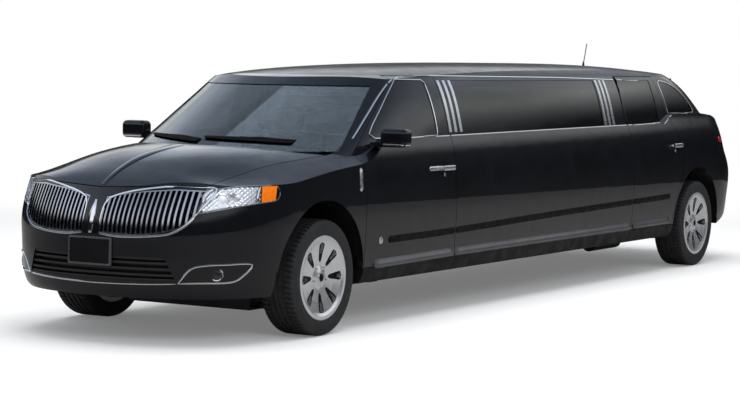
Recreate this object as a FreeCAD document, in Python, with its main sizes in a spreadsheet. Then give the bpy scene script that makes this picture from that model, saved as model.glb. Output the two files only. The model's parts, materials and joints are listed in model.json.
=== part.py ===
"""Stretch limousine on a crossover wagon body: its real panels, doors, wheels and inner parts as an assembly.

Millimetres. Z is up, the nose points to -Y and the car's left side is +X. The origin is on the ground,
on the centre line, halfway between the front and the rear end.
"""
import FreeCAD, Part
import Sketcher
import math
import os
from functools import lru_cache
from types import SimpleNamespace

Vec = FreeCAD.Vector
X_AXIS = Vec(1, 0, 0)
Y_AXIS = Vec(0, 1, 0)
Z_AXIS = Vec(0, 0, 1)
ORIGIN = Vec(0, 0, 0)

doc = FreeCAD.newDocument("stretch_limousine")
sheet = doc.addObject("Spreadsheet::Sheet", "sizes")

# Driving sizes. Stations called "..._station" are distances behind the front axle.
DRIVING_SIZES = [
    ("wheelbase", 6043, "between the axles, 3048 longer than the wagon's"),
    ("front_overhang", 1150, "front axle to the nose"),
    ("rear_overhang", 1240, "rear axle to the tail"),
    ("body_width", 1930, "over the doors"),
    ("belt_height", 1229, "lower edge of the side windows"),
    ("roof_height", 1740, "crown of the roof over the ground"),
    ("roof_crown", 42, "fall of the roof from its middle to its edge"),
    ("shut_gap", 5, "gap round every panel that moves"),
    ("overrun", 40, "how far a cutting solid passes what it cuts"),
    ("seat_clearance", 0.3, "play between a pin and its bore"),
    # walls
    ("skin_wall", 30, "fenders and bumpers"),
    ("hood_wall", 28, "hood and its frame"),
    ("door_wall", 85, "whole door, skin to inner trim"),
    ("frame_wall", 45, "window frames and pillars"),
    ("roof_wall", 42, "roof with its lining"),
    ("glass_wall", 6, "window glass"),
    ("glass_inset", 4, "glass behind the frame's face"),
    # floor and firewall
    ("ground_clearance", 290, "underside of the sills"),
    ("sill_top", 390, "top of the sills, under the doors"),
    ("floor_top", 335, "cabin floor"),
    ("sill_width", 130, "depth of a sill"),
    ("jack_pad_offset", 860, "jack pad's middle from the centre line"),
    ("jack_pad_front_station", 700, "front jack pad's middle"),
    ("jack_pad_rear_station", 5300, "rear jack pad's middle"),
    ("jack_pad_length", 110, "jack pad along the car"),
    ("jack_pad_width", 70, "jack pad across the car"),
    ("jack_pad_wall", 6, "jack pad under the sill"),
    ("firewall_station", 330, "firewall's front face"),
    ("firewall_wall", 18, "firewall"),
    ("boot_floor_top", 590, "load floor over the rear axle"),
    ("boot_floor_wall", 30, "load floor"),
    ("boot_floor_station", 5450, "front of the load floor"),
    # wheels
    ("tyre_diameter", 740, "tyre over the tread"),
    ("tyre_width", 255, "tyre over the sidewalls"),
    ("tyre_seat_diameter", 504, "where the tyre sits on the rim"),
    ("tyre_shoulder", 16, "drop of the tread at its edge"),
    ("tyre_bead_width", 208, "between the rim flanges"),
    ("rim_flange_diameter", 536, "rim over its flanges"),
    ("rim_width", 240, "rim over its flanges, across the car"),
    ("rim_wall", 13, "barrel of the rim"),
    ("track", 1664, "between the wheel centres, across the car"),
    ("hub_radius", 75, "wheel hub"),
    ("hub_bore_radius", 33, "hole for the spindle"),
    ("hub_cap_radius", 38, "hub cap"),
    ("brake_disc_radius", 165, "brake disc"),
    ("brake_disc_wall", 22, "brake disc"),
    ("spoke_slots", 8, "openings in the wheel face"),
    ("spoke_slot_length", 66, "opening along its spoke"),
    ("spoke_slot_width", 34, "opening at its outer end"),
    ("spoke_slot_root_width", 22, "opening at its inner end"),
    ("arch_radius", 490, "wheel arch"),
    ("liner_wall", 12, "wheelhouse"),
    ("front_house_inner", 490, "front wheelhouse's inner wall from the centre line"),
    ("rear_house_inner", 640, "rear wheelhouse's inner wall from the centre line"),
    ("house_bottom", 520, "lower edge of the wheelhouses' inner walls"),
    # steering and suspension
    ("kingpin_inset", 72, "steering axis inside the wheel's centre plane"),
    ("kingpin_radius", 12, "steering pivot pins"),
    ("kingpin_length", 30, "steering pivot pins"),
    ("upright_reach", 190, "upright above and below the axle"),
    ("upright_depth", 90, "upright along the car"),
    ("upright_wall", 50, "upright across the car"),
    ("arm_half_width", 34, "suspension arm along the car"),
    ("arm_wall", 34, "suspension arm"),
    ("arm_tip", 30, "arm beyond the steering axis"),
    ("crossmember_half_width", 480, "front crossmember"),
    ("crossmember_depth", 260, "front crossmember along the car"),
    ("crossmember_height", 150, "front crossmember"),
    ("subframe_rail_station", 700, "rear end of the subframe rails"),
    ("subframe_rail_width", 60, "subframe rails"),
    ("subframe_rail_height", 60, "subframe rails"),
    ("subframe_rail_offset", 380, "subframe rails from the centre line"),
    ("rear_beam_radius", 48, "rear axle beam"),
    ("spring_seat_offset", 520, "rear spring from the centre line"),
    ("spring_seat_radius", 55, "rear spring"),
    # engine
    ("engine_width", 620, "engine and gearbox as one block"),
    ("engine_length", 700, "engine"),
    ("engine_height", 560, "engine"),
    ("engine_station", -60, "engine's centre"),
    # hood
    ("hood_front_half_width", 690, "hood at the lamps"),
    ("hood_rear_half_width", 790, "hood at the cowl"),
    ("hood_rear_centre_station", -225, "hood's rear edge on the centre line"),
    ("hood_rear_corner_station", 250, "hood's rear corner"),
    ("hood_axis_station", 350, "hood hinge axis"),
    ("hood_axis_height", 1072, "hood hinge axis"),
    ("hood_lamp_station", -730, "where the hood's side edge leaves the lamp"),
    ("lip_centre_height", 948, "hood's front lip on the centre line"),
    ("lip_middle_offset", 512, "place on the hood's front lip"),
    ("lip_middle_height", 970, "hood's front lip over the grille"),
    ("lip_lamp_offset", 700, "place on the hood's front lip"),
    ("lip_lamp_height", 962, "hood's front lip at the lamp"),
    ("lip_corner_height", 980, "line over the lamp at the car's side"),
    ("cowl_drop", 36, "cowl below the hood's surface"),
    ("cowl_wall", 24, "cowl panel"),
    ("hood_ear_offset", 764, "hood hinge ear from the centre line"),
    ("hood_ear_wall", 12, "hood hinge ear"),
    ("hood_ear_length", 165, "hood hinge ear"),
    ("hood_ear_height", 30, "hood hinge ear"),
    ("hood_pin_radius", 8, "hood hinge pin"),
    ("hood_pin_length", 40, "hood hinge pin"),
    ("hood_block", 60, "hood hinge block on the firewall"),
    # doors
    ("door_bottom", 395, "lower edge of the doors"),
    ("door_top", 1638, "upper edge of the doors"),
    ("door_axis_inset", 60, "hinge axis inside the door's widest skin"),
    ("door_lead", 53, "door's front seam ahead of its hinge axis"),
    ("front_door_station", 500, "front door's front seam"),
    ("front_door_rear_station", 1700, "front door's rear seam"),
    ("rear_door_station", 4690, "rear door's front seam"),
    ("arch_flange", 35, "panel between the rear door and the wheel arch"),
    ("rear_door_rear_station", 5715, "rear door's rear seam behind the handle"),
    ("rear_door_belt_station", 5600, "rear door's rear seam at the belt"),
    ("rear_door_top_station", 5490, "rear door's rear seam at the roof"),
    ("door_shoulder_height", 1161, "top of the front door ahead of its window frame"),
    ("door_pin_radius", 10, "door hinge pin"),
    ("door_pin_length", 26, "door hinge pin in the sill"),
    ("handle_length", 165, "door handle"),
    ("handle_height", 26, "door handle"),
    ("handle_depth", 34, "door handle outside the skin"),
    ("handle_from_seam", 60, "handle's rear end to the door's rear seam"),
    ("front_handle_height", 1012, "front door handle over the ground"),
    ("rear_handle_height", 1062, "rear door handle over the ground"),
    # windows
    ("window_top", 1612, "upper edge of the side glass"),
    ("front_window_low_station", 690, "front door glass at the mirror"),
    ("front_window_apex_station", 1215, "front door glass at the pillar's top"),
    ("front_window_rear_station", 1545, "front door glass, rear edge"),
    ("long_window_station", 1925, "long window, front edge"),
    ("long_window_rear_station", 4270, "long window, rear edge"),
    ("rear_window_station", 4745, "rear door glass, front edge"),
    ("rear_window_rear_station", 5400, "rear door glass, rear edge"),
    ("quarter_window_low_station", 5640, "quarter glass, front edge at the belt"),
    ("quarter_window_top_station", 5590, "quarter glass, front edge at the top"),
    ("quarter_window_rear_station", 6225, "quarter glass, rear corner"),
    ("quarter_sill_height", 1324, "lower edge of the quarter glass"),
    ("belt_kink_station", 5422, "where the belt starts to rise"),
    ("belt_rise_station", 5640, "where the belt has risen"),
    ("belt_rear_height", 1252, "belt before it rises"),
    ("front_window_low_height", 1232, "foot of the front door glass at the mirror"),
    ("front_window_heel", 60, "cut-off front corner of the front door glass"),
    ("belt_lip", 8, "glass foot above the belt"),
    ("quarter_arch_rear", 60, "pull of the quarter glass's arch at its rear corner"),
    ("quarter_arch_rise", 120, "rise of the quarter glass's arch at its rear corner"),
    ("quarter_arch_front", 330, "straight start of the quarter glass's upper edge"),
    ("roof_seam_height", 1643, "seam between the roof and the sides"),
    # windscreen
    ("screen_base_station", -60, "foot of the windscreen on the centre line"),
    ("screen_base_height", 1222, "foot of the windscreen on the centre line"),
    ("screen_top_station", 788, "head of the windscreen on the centre line"),
    ("screen_top_height", 1616, "head of the windscreen on the centre line"),
    ("pillar_base_station", 490, "foot of the windscreen pillar"),
    ("pillar_base_height", 1161, "foot of the windscreen pillar"),
    ("pillar_base_offset", 850, "foot of the windscreen pillar from the centre line"),
    ("pillar_top_station", 1113, "head of the windscreen pillar"),
    ("pillar_top_height", 1601, "head of the windscreen pillar"),
    ("pillar_top_offset", 720, "head of the windscreen pillar from the centre line"),
    ("pillar_width", 30, "pillar from its front corner to the door"),
    ("pillar_splay", 12, "pillar's foot outside the screen's"),
    ("pillar_foot_seam", 1150, "joint between the pillars and the fenders"),
    ("pillar_face", 46, "pillar beside the glass"),
    ("header_face", 26, "frame above the windscreen"),
    # tailgate
    ("tailgate_half_width", 640, "tailgate"),
    ("tailgate_bottom", 800, "lower edge of the tailgate"),
    ("tailgate_axis_station", 6090, "tailgate hinge axis"),
    ("tailgate_axis_height", 1618, "tailgate hinge axis"),
    ("tailgate_nose", 88, "tailgate's rounded upper edge about its axis"),
    ("tail_window_half_width", 575, "tailgate glass at its foot"),
    ("tail_window_top_half_width", 520, "tailgate glass at its head"),
    ("tail_window_bottom", 1165, "tailgate glass"),
    ("tail_window_top", 1600, "tailgate glass"),
    ("tailgate_pin_radius", 8, "tailgate hinge pin"),
    ("tailgate_pin_length", 24, "tailgate hinge pin"),
    # nose openings, with places along the bend of the corner for the lamps
    ("corner_reach", 1300, "cut from outside the corner"),
    ("corner_depth", 420, "depth of that cut"),
    ("grille_inner", 62, "grille wing's inner edge from the centre line"),
    ("grille_outer", 705, "grille wing's outer tip"),
    ("grille_bottom", 676, "grille wing"),
    ("grille_sag", 8, "bow of the grille wing's lower edge"),
    ("grille_top", 950, "grille wing at its tip"),
    ("grille_arch", 8, "bow of the grille wing's upper edge"),
    ("grille_inner_top", 900, "grille wing beside the centre"),
    ("grille_frame", 12, "bright frame of the grille wings"),
    ("grille_depth", 46, "grille bars from front to back"),
    ("grille_inset", 6, "grille behind the nose's skin"),
    ("grille_bars", 20, "bars in a wing"),
    ("grille_bar_width", 11, "one bar"),
    ("grille_backing", 8, "dark panel behind the bars"),
    ("lower_grille_half_width", 560, "lower grille at its foot"),
    ("lower_grille_top_half_width", 500, "lower grille at its head"),
    ("lower_grille_bottom", 402, "lower grille"),
    ("lower_grille_top", 545, "lower grille"),
    ("lower_grille_slats", 4, "slats"),
    ("slat_height", 14, "one slat"),
    ("lamp_inner", 217, "headlamp's inner corner"),
    ("lamp_middle", 13, "headlamp's lower edge, halfway"),
    ("lamp_outer", 290, "headlamp's outer corner"),
    ("lamp_bottom", 812, "headlamp"),
    ("lamp_top", 972, "headlamp"),
    ("lamp_rake", 14, "lean of the headlamp's outer edge"),
    ("lamp_lean", 68, "lean of the headlamp's inner edge"),
    ("lamp_depth", 40, "lamps behind the skin"),
    ("marker_inner", 190, "amber marker's inner edge"),
    ("fog_inner", 324, "fog lamp's inner corner"),
    ("fog_outer", 56, "fog lamp's outer corner"),
    ("fog_lean", 84, "lean of the fog lamp's ends"),
    ("fog_bottom", 403, "fog lamp"),
    ("fog_top", 490, "fog lamp"),
    ("tail_lamp_reach", 300, "tail lamp's end at the tailgate"),
    ("tail_lamp_front", 170, "tail lamp's front end"),
    ("tail_lamp_bottom", 985, "tail lamp"),
    ("tail_lamp_top", 1110, "tail lamp"),
    ("tail_lamp_rake", 22, "lean of the tail lamp's front end"),
    # trim
    ("trim_wall", 5, "bright trim outside the skin"),
    ("pillar_bars", 3, "bright bars on each side pillar"),
    ("pillar_bar_width", 36, "one bar"),
    ("front_bars_station", 1712, "front set of bars"),
    ("rear_bars_station", 4288, "rear set of bars"),
    ("bars_depth", 190, "a set of bars along the car"),
    ("mirror_station", 690, "mirror's centre"),
    ("mirror_height", 1240, "mirror's centre"),
    ("mirror_inner", 962, "mirror housing's inner end from the centre line"),
    ("mirror_width", 200, "mirror housing across the car"),
    ("mirror_depth", 110, "mirror housing along the car"),
    ("mirror_rise", 122, "mirror housing"),
    ("mirror_round", 34, "mirror housing's rounded edges"),
    ("mirror_arm_height", 30, "mirror's arm"),
    ("mirror_arm_depth", 70, "mirror's arm along the car"),
    ("mirror_arm_root", 885, "mirror's arm inside the door, from the centre line"),
    ("wiper_left_offset", 590, "left wiper's outer end from the centre line"),
    ("wiper_right_offset", 30, "right wiper's outer end from the centre line"),
    ("wiper_length", 540, "wiper"),
    ("wiper_width", 20, "wiper at its arm"),
    ("wiper_wall", 11, "wiper over the glass"),
    ("wiper_height", 1226, "wiper's outer end over the ground"),
    ("wiper_slope", 16, "rise of the wiper to its inner end"),
    ("antenna_station", 5700, "antenna's foot"),
    ("antenna_radius", 4, "antenna"),
    ("antenna_foot_radius", 14, "antenna's foot"),
    ("antenna_foot_height", 22, "antenna's foot"),
    ("antenna_length", 190, "antenna"),
    # cabin
    ("dash_station", 800, "dashboard's rear face"),
    ("dash_top", 1036, "dashboard"),
    ("dash_bottom", 720, "dashboard"),
    ("dash_half_width", 780, "dashboard"),
    ("seat_width", 540, "front seat"),
    ("seat_offset", 400, "front seat from the centre line"),
    ("seat_station", 1080, "front edge of the front seat"),
    ("seat_length", 520, "seat cushion"),
    ("seat_height", 270, "seat cushion above the floor"),
    ("seat_back_height", 640, "seat back above the cushion"),
    ("seat_back_wall", 130, "seat back"),
    ("seat_back_rake", 110, "lean of the seat back"),
    ("head_rest_height", 190, "head restraint"),
    ("partition_station", 1800, "partition behind the driver"),
    ("partition_wall", 30, "partition"),
    ("partition_half_width", 730, "partition"),
    ("partition_top", 1480, "partition"),
    ("partition_window_drop", 30, "foot of the partition's window below the belt"),
    ("partition_window_height", 220, "partition's window"),
    ("bench_station", 2150, "front end of the side bench"),
    ("bench_rear_station", 4560, "rear end of the side bench"),
    ("bench_depth", 520, "benches"),
    ("bench_offset", 805, "side bench's back from the centre line"),
    ("bench_back_height", 560, "back of the benches above the cushion"),
    ("rear_bench_station", 4850, "rear bench's front edge"),
    ("rear_bench_half_width", 760, "rear bench"),
    ("steering_wheel_radius", 185, "steering wheel"),
    ("steering_rim_radius", 15, "steering wheel's rim"),
    ("steering_hub_radius", 62, "steering wheel's pad"),
    ("steering_hub_depth", 40, "steering wheel's pad"),
    ("steering_station", 930, "steering wheel's centre"),
    ("steering_height", 1000, "steering wheel's centre"),
    ("steering_rake", 65, "angle of the steering column's lean in degrees"),
    ("steering_shaft_radius", 16, "steering column"),
    ("steering_shaft_length", 340, "steering column behind the wheel"),
    # under the floor
    ("exhaust_radius", 30, "exhaust pipe"),
    ("exhaust_height", 225, "exhaust pipe's centre"),
    ("exhaust_offset", 420, "exhaust pipes from the centre line"),
    ("silencer_radius", 62, "silencer"),
    ("silencer_length", 520, "silencer"),
    ("tail_pipe_radius", 38, "tail pipe"),
    ("tail_pipe_length", 160, "tail pipe"),
    ("tank_length", 760, "fuel tank"),
    ("tank_width", 620, "fuel tank"),
    ("tank_height", 110, "fuel tank"),
    ("tank_station", 4500, "fuel tank's front end"),
    # bumpers
    ("front_bumper_seam_station", -505, "seam to the fender at the lamp"),
    ("front_bumper_low_station", -455, "seam to the fender at the arch"),
    ("rear_bumper_seam_station", 6560, "seam to the quarter panel"),
    ("rear_bumper_arch_bottom", 330, "lower edge behind the rear wheel"),
    ("rear_bumper_bottom", 470, "lower edge at the tail"),
    ("rear_bumper_level_station", 6900, "where the lower edge has risen"),
]


def cell_name(row):
    return f"B{row}"


for row, (alias, value, note) in enumerate(DRIVING_SIZES, start=1):
    sheet.set(f"A{row}", alias)
    sheet.set(cell_name(row), str(value))
    sheet.setAlias(cell_name(row), alias)
    sheet.set(f"C{row}", note)
doc.recompute()

mm = SimpleNamespace(**{alias: float(getattr(sheet, alias)) for alias, value, note in DRIVING_SIZES})


class Cell:
    """A size as a number together with the sheet expression that gives it."""

    def __init__(self, value, text):
        self.value = value
        self.text = text

    def joined(self, other, sign, result):
        other_text = other.text if isinstance(other, Cell) else repr(other)
        return Cell(result, f"({self.text} {sign} {other_text})")

    def __add__(self, other):
        return self.joined(other, "+", self.value + number(other))

    def __sub__(self, other):
        return self.joined(other, "-", self.value - number(other))

    def __mul__(self, other):
        return self.joined(other, "*", self.value * number(other))

    def __truediv__(self, other):
        return self.joined(other, "/", self.value / number(other))

    def __neg__(self):
        return Cell(-self.value, f"(0 - {self.text})")


def number(size):
    return size.value if isinstance(size, Cell) else size


cell = SimpleNamespace(**{
    alias: Cell(getattr(mm, alias), f"sizes.{alias}") for alias, value, note in DRIVING_SIZES})
ZERO = Cell(0.0, "0")

# Places worked out from the driving sizes
HALF = 0.5
overall_length = mm.front_overhang + mm.wheelbase + mm.rear_overhang
nose_y = -overall_length * HALF
tail_y = overall_length * HALF
front_axle_y = nose_y + mm.front_overhang
rear_axle_y = front_axle_y + mm.wheelbase
half_width = mm.body_width * HALF
front_reach = mm.front_overhang * HALF
axle_z = mm.tyre_diameter * HALF


def station(distance):
    """Y of a place that lies this far behind the front axle."""
    return front_axle_y + distance


# Plain shape helpers
def line(start, end):
    return Part.LineSegment(start, end).toShape()


def bezier(*poles):
    curve = Part.BezierCurve()
    curve.setPoles(list(poles))
    return curve.toShape()


def spline(points):
    curve = Part.BSplineCurve()
    curve.interpolate(points)
    return curve.toShape()


def box(low, high):
    """A box between two corners given as (x, y, z)."""
    size = [high[axis] - low[axis] for axis in range(3)]
    return Part.makeBox(size[0], size[1], size[2], Vec(*low))


def cylinder(radius, length, start, direction):
    return Part.makeCylinder(radius, length, start, direction)


def mirrored(shape):
    return shape.mirror(ORIGIN, X_AXIS)


def both_sides(shape):
    return Part.makeCompound([shape, mirrored(shape)])


def polygon_prism(points, direction):
    face = Part.Face(Part.makePolygon(points + points[:1]))
    return face.extrude(direction)


def side_prism(outline, start_x, end_x):
    """Extrudes a (y, z) outline across the car."""
    return polygon_prism([Vec(start_x, y, z) for y, z in outline], X_AXIS * (end_x - start_x))


def front_prism(outline, start_y, end_y):
    """Extrudes an (x, z) outline along the car."""
    return polygon_prism([Vec(x, start_y, z) for x, z in outline], Y_AXIS * (end_y - start_y))


def plan_prism(wire_edges, start_z, end_z):
    """Extrudes a closed plan outline of edges at start_z upwards."""
    face = Part.Face(Part.Wire(wire_edges))
    return face.extrude(Z_AXIS * (end_z - start_z))


def between(low, high, share):
    return low + (high - low) * share


def looked_up(table, place):
    """Straight-line reading of a table of (place, value), held at its ends."""
    for (low, low_value), (high, high_value) in zip(table, table[1:]):
        if place <= high:
            return between(low_value, high_value, max(0, (place - low) / (high - low)))
    return table[-1][1]


# Lower body: closed plan slices from the sills to the belt.
# Shares of the belt height, the half width, the front overhang and the rear overhang.
LOWER_SLICE_SHARES = [
    (0.236, 0.938, 0.957, 0.900),
    (0.281, 0.966, 0.990, 0.925),
    (0.350, 0.982, 0.997, 0.950),
    (0.456, 0.991, 1.000, 0.975),
    (0.529, 0.996, 1.000, 0.992),
    (0.600, 1.000, 0.994, 1.000),
    (0.692, 0.999, 0.955, 0.980),
    (0.773, 0.995, 0.905, 0.905),
    (0.846, 0.985, 0.850, 0.856),
    (0.928, 0.966, 0.790, 0.823),
    (1.000, 0.938, 0.740, 0.794),
    (1.082, 0.904, 0.700, 0.750),
]
NOSE_PLAN_SHARES = SimpleNamespace(fullness=0.55, shoulder=0.835, start=0.22)
TAIL_PLAN_SHARES = SimpleNamespace(fullness=0.68, shoulder=0.85, start=0.38)


NOSE_CURVE_END = front_axle_y - NOSE_PLAN_SHARES.start * mm.front_overhang


def nose_curve(row, inset, side):
    """One half of a slice's plan round the nose."""
    height_share, width_share, nose_share, tail_share = row
    z = height_share * mm.belt_height
    w = width_share * half_width - inset
    nose = nose_share * mm.front_overhang - inset
    centre = Vec(0, front_axle_y - nose, z)
    return bezier(
        centre,
        Vec(side * w * NOSE_PLAN_SHARES.fullness, centre.y, z),
        Vec(side * w, front_axle_y - nose * NOSE_PLAN_SHARES.shoulder, z),
        Vec(side * w, NOSE_CURVE_END, z),
    )


def lower_slice(row, inset):
    """Plan of the lower body at one height."""
    height_share, width_share, nose_share, tail_share = row
    z = height_share * mm.belt_height
    w = width_share * half_width - inset
    tail = tail_share * mm.rear_overhang - inset
    rear_start = rear_axle_y + TAIL_PLAN_SHARES.start * mm.rear_overhang * tail_share
    tail_centre = Vec(0, rear_axle_y + tail, z)

    def tail_half(side):
        return bezier(
            Vec(side * w, rear_start, z),
            Vec(side * w, rear_axle_y + tail * TAIL_PLAN_SHARES.shoulder, z),
            Vec(side * w * TAIL_PLAN_SHARES.fullness, tail_centre.y, z),
            tail_centre,
        )

    left_side = line(Vec(w, NOSE_CURVE_END, z), Vec(w, rear_start, z))
    right_side = line(Vec(-w, NOSE_CURVE_END, z), Vec(-w, rear_start, z))
    return Part.Wire(Part.__sortEdges__([
        nose_curve(row, inset, 1), left_side, tail_half(1),
        tail_half(-1), right_side, nose_curve(row, inset, -1),
    ]))


@lru_cache(maxsize=None)
def nose_body(inset):
    """The part of the lower body's plan slices that lies ahead of the side's straight run."""
    wires = []
    for row in LOWER_SLICE_SHARES:
        halves = [nose_curve(row, inset, 1), nose_curve(row, inset, -1)]
        ends = [edge.valueAt(edge.LastParameter) for edge in halves]
        wires.append(Part.Wire(Part.__sortEdges__(halves + [line(*ends)])))
    return Part.makeLoft(wires, True, False)


# Top of the lower body. Shares of the half width, then stations with heights as shares of the belt height.
DECK_ACROSS_SHARES = (0.0, 0.47, 0.83, 0.974, 1.08)
DECK_SHARES = [
    (-1.20, (0.620, 0.617, 0.606, 0.598, 0.570)),
    (-1.043, (0.651, 0.648, 0.636, 0.628, 0.600)),
    (-0.904, (0.772, 0.767, 0.752, 0.736, 0.700)),
    (-0.806, (0.829, 0.816, 0.777, 0.753, 0.716)),
    (-0.633, (0.893, 0.867, 0.797, 0.773, 0.732)),
    (-0.413, (0.941, 0.918, 0.836, 0.795, 0.753)),
    (-0.043, (0.980, 0.963, 0.889, 0.838, 0.785)),
    (0.263, (0.994, 0.981, 0.922, 0.866, 0.806)),
    (0.475, (0.998, 0.989, 0.944, 0.887, 0.822)),
    (0.660, (1.060, 1.050, 1.010, 0.955, 0.900)),
    (0.900, (1.150, 1.140, 1.120, 1.080, 1.030)),
    (1.300, (1.200, 1.200, 1.200, 1.200, 1.200)),
]


def deck_section(row, drop):
    station_share, heights = row
    y = front_axle_y + station_share * mm.front_overhang
    outer = [
        Vec(share * half_width, y, height * mm.belt_height - drop)
        for share, height in zip(DECK_ACROSS_SHARES, heights)
    ]
    inner = [Vec(-point.x, point.y, point.z) for point in reversed(outer[1:])]
    top = spline(inner + outer)
    left_foot = Vec(outer[-1].x, y, 0)
    right_foot = Vec(-outer[-1].x, y, 0)
    return Part.Wire([
        top, line(outer[-1], left_foot), line(left_foot, right_foot), line(right_foot, inner[0])])


def hood_deck(drop):
    return Part.makeLoft([deck_section(row, drop) for row in DECK_SHARES], True, False)


# The tail's shoulder: stations behind the rear axle as shares of the overhang, and heights of the belt's
TAIL_SHOULDER_SHARES = [(0.16, 1.079), (0.37, 1.062), (0.60, 1.010), (0.81, 0.935), (1.10, 0.800)]


def belt_outline(front, drop):
    """Side outline of everything below the belt, from a place on the front door to behind the tail."""
    outline = [(front, 0), (front, mm.belt_height - drop)]
    outline.append((station(mm.belt_kink_station), mm.belt_rear_height - drop))
    outline.append((station(mm.belt_rise_station), mm.quarter_sill_height - drop))
    for station_share, height_share in TAIL_SHOULDER_SHARES:
        outline.append((rear_axle_y + station_share * mm.rear_overhang, height_share * mm.belt_height - drop))
    outline.append((outline[-1][0], 0))
    return outline


@lru_cache(maxsize=None)
def lower_slices(inset):
    return Part.makeLoft([lower_slice(row, inset) for row in LOWER_SLICE_SHARES], True, False)


@lru_cache(maxsize=None)
def lower_body(inset, drop):
    """The body below the side windows, pulled in by inset and lowered by drop."""
    reach = half_width * DECK_ACROSS_SHARES[-1] + mm.overrun
    split = station(DECK_SHARES[-2][0] * mm.front_overhang)
    ahead = box((-reach, nose_y - front_reach, 0), (reach, split, mm.belt_height - drop))
    behind = side_prism(belt_outline(split, drop), -reach, reach)
    return lower_slices(inset).common(hood_deck(drop).common(ahead).fuse(behind))


# Greenhouse: closed plan slices from under the belt to over the roof. Shares of the roof height, then of the
# half width at the doors and at the tail, then of the rear overhang for the side's and the glass's end.
GREENHOUSE_SLICE_SHARES = [
    (0.644, 0.949, 0.891, 0.363, 0.823),
    (0.706, 0.925, 0.875, 0.266, 0.758),
    (0.764, 0.902, 0.855, 0.161, 0.677),
    (0.822, 0.875, 0.829, 0.048, 0.581),
    (0.879, 0.841, 0.798, -0.073, 0.468),
    (0.925, 0.803, 0.769, -0.210, 0.331),
    (0.960, 0.760, 0.731, -0.363, 0.185),
    (0.988, 0.696, 0.668, -0.524, 0.000),
    (1.017, 0.590, 0.565, -0.685, -0.282),
]
SCREEN_PLAN_SHARES = SimpleNamespace(fullness=0.50, corner=0.88, sweep=0.42)
PILLAR_PLAN_SHARES = SimpleNamespace(blend=0.149, out=0.55, turn=0.12, middle=0.50, widest=0.93)
SIDE_PLAN_SHARES = SimpleNamespace(straight=0.70, bend=0.85, taper=0.45)
TAIL_GLASS_SHARES = SimpleNamespace(corner=0.985, side=0.60, fullness=0.62)
# How much farther a wall of unit thickness reaches along the car where the glass leans
LEAN_SHARES = SimpleNamespace(screen=2.2, pillar=1.3, tail=1.5)


def leaning(height, low_height, low_value, high_height, high_value):
    return between(low_value, high_value, (height - low_height) / (high_height - low_height))


def greenhouse_slice(row, inset):
    height_share, width_share, tail_width_share, side_share, glass_share = row
    z = height_share * mm.roof_height
    w = width_share * half_width - inset
    tail_w = tail_width_share * half_width - inset
    heights = (z, mm.pillar_base_height)
    corner_x = leaning(*heights, mm.pillar_base_offset, mm.pillar_top_height, mm.pillar_top_offset) - inset
    corner_x = min(corner_x, w * PILLAR_PLAN_SHARES.widest)
    corner_y = leaning(*heights, mm.pillar_base_station, mm.pillar_top_height, mm.pillar_top_station)
    centre_y = leaning(
        z, mm.screen_base_height, mm.screen_base_station, mm.screen_top_height, mm.screen_top_station)
    corner_y = station(corner_y) + inset * LEAN_SHARES.pillar
    centre_y = station(centre_y) + inset * LEAN_SHARES.screen
    blend = PILLAR_PLAN_SHARES.blend * mm.wheelbase
    side_y = corner_y + blend
    side_end = rear_axle_y + side_share * mm.rear_overhang
    tail = rear_axle_y + glass_share * mm.rear_overhang - inset * LEAN_SHARES.tail
    plan = PILLAR_PLAN_SHARES

    def half(s):
        return [
            bezier(
                Vec(0, centre_y, z),
                Vec(s * corner_x * SCREEN_PLAN_SHARES.fullness, centre_y, z),
                Vec(s * corner_x * SCREEN_PLAN_SHARES.corner,
                    between(corner_y, centre_y, SCREEN_PLAN_SHARES.sweep), z),
                Vec(s * corner_x, corner_y, z)),
            bezier(
                Vec(s * corner_x, corner_y, z),
                Vec(s * between(corner_x, w, plan.out), corner_y + blend * plan.turn, z),
                Vec(s * w, corner_y + blend * plan.middle, z),
                Vec(s * w, side_y, z)),
            bezier(
                Vec(s * w, side_y, z),
                Vec(s * w, between(side_y, side_end, SIDE_PLAN_SHARES.straight), z),
                Vec(s * between(tail_w, w, SIDE_PLAN_SHARES.taper),
                    between(side_y, side_end, SIDE_PLAN_SHARES.bend), z),
                Vec(s * tail_w, side_end, z)),
            bezier(
                Vec(s * tail_w, side_end, z),
                Vec(s * tail_w * TAIL_GLASS_SHARES.corner,
                    between(side_end, tail, TAIL_GLASS_SHARES.side), z),
                Vec(s * tail_w * TAIL_GLASS_SHARES.fullness, tail, z),
                Vec(0, tail, z)),
        ]

    return Part.Wire(Part.__sortEdges__(half(1) + half(-1)))


# Roof skin: stations as shares of the wheelbase and crown heights as shares of the roof height
ROOF_SHARES = [
    (0.000, 0.800), (0.099, 0.894), (0.130, 0.932), (0.166, 0.951), (0.215, 0.967), (0.298, 0.982),
    (0.495, 0.997), (0.685, 1.000), (0.867, 0.993), (0.943, 0.982), (1.001, 0.971), (1.051, 0.946),
    (1.109, 0.905),
]
ROOF_ACROSS_SHARES = ((0.0, 0.0), (0.4, 0.22), (0.7, 1.0), (0.85, 1.9), (1.04, 3.6))


def roof_section(row, drop):
    y = station(row[0] * mm.wheelbase)
    crown = row[1] * mm.roof_height - drop
    outer = [
        Vec(share * half_width, y, crown - fall * mm.roof_crown)
        for share, fall in ROOF_ACROSS_SHARES
    ]
    inner = [Vec(-point.x, point.y, point.z) for point in reversed(outer[1:])]
    foot = mm.sill_top
    left_foot = Vec(outer[-1].x, y, foot)
    right_foot = Vec(-outer[-1].x, y, foot)
    return Part.Wire([
        spline(inner + outer), line(outer[-1], left_foot),
        line(left_foot, right_foot), line(right_foot, inner[0])])


@lru_cache(maxsize=None)
def greenhouse_slices(inset):
    return Part.makeLoft([greenhouse_slice(row, inset) for row in GREENHOUSE_SLICE_SHARES], True, False)


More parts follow.
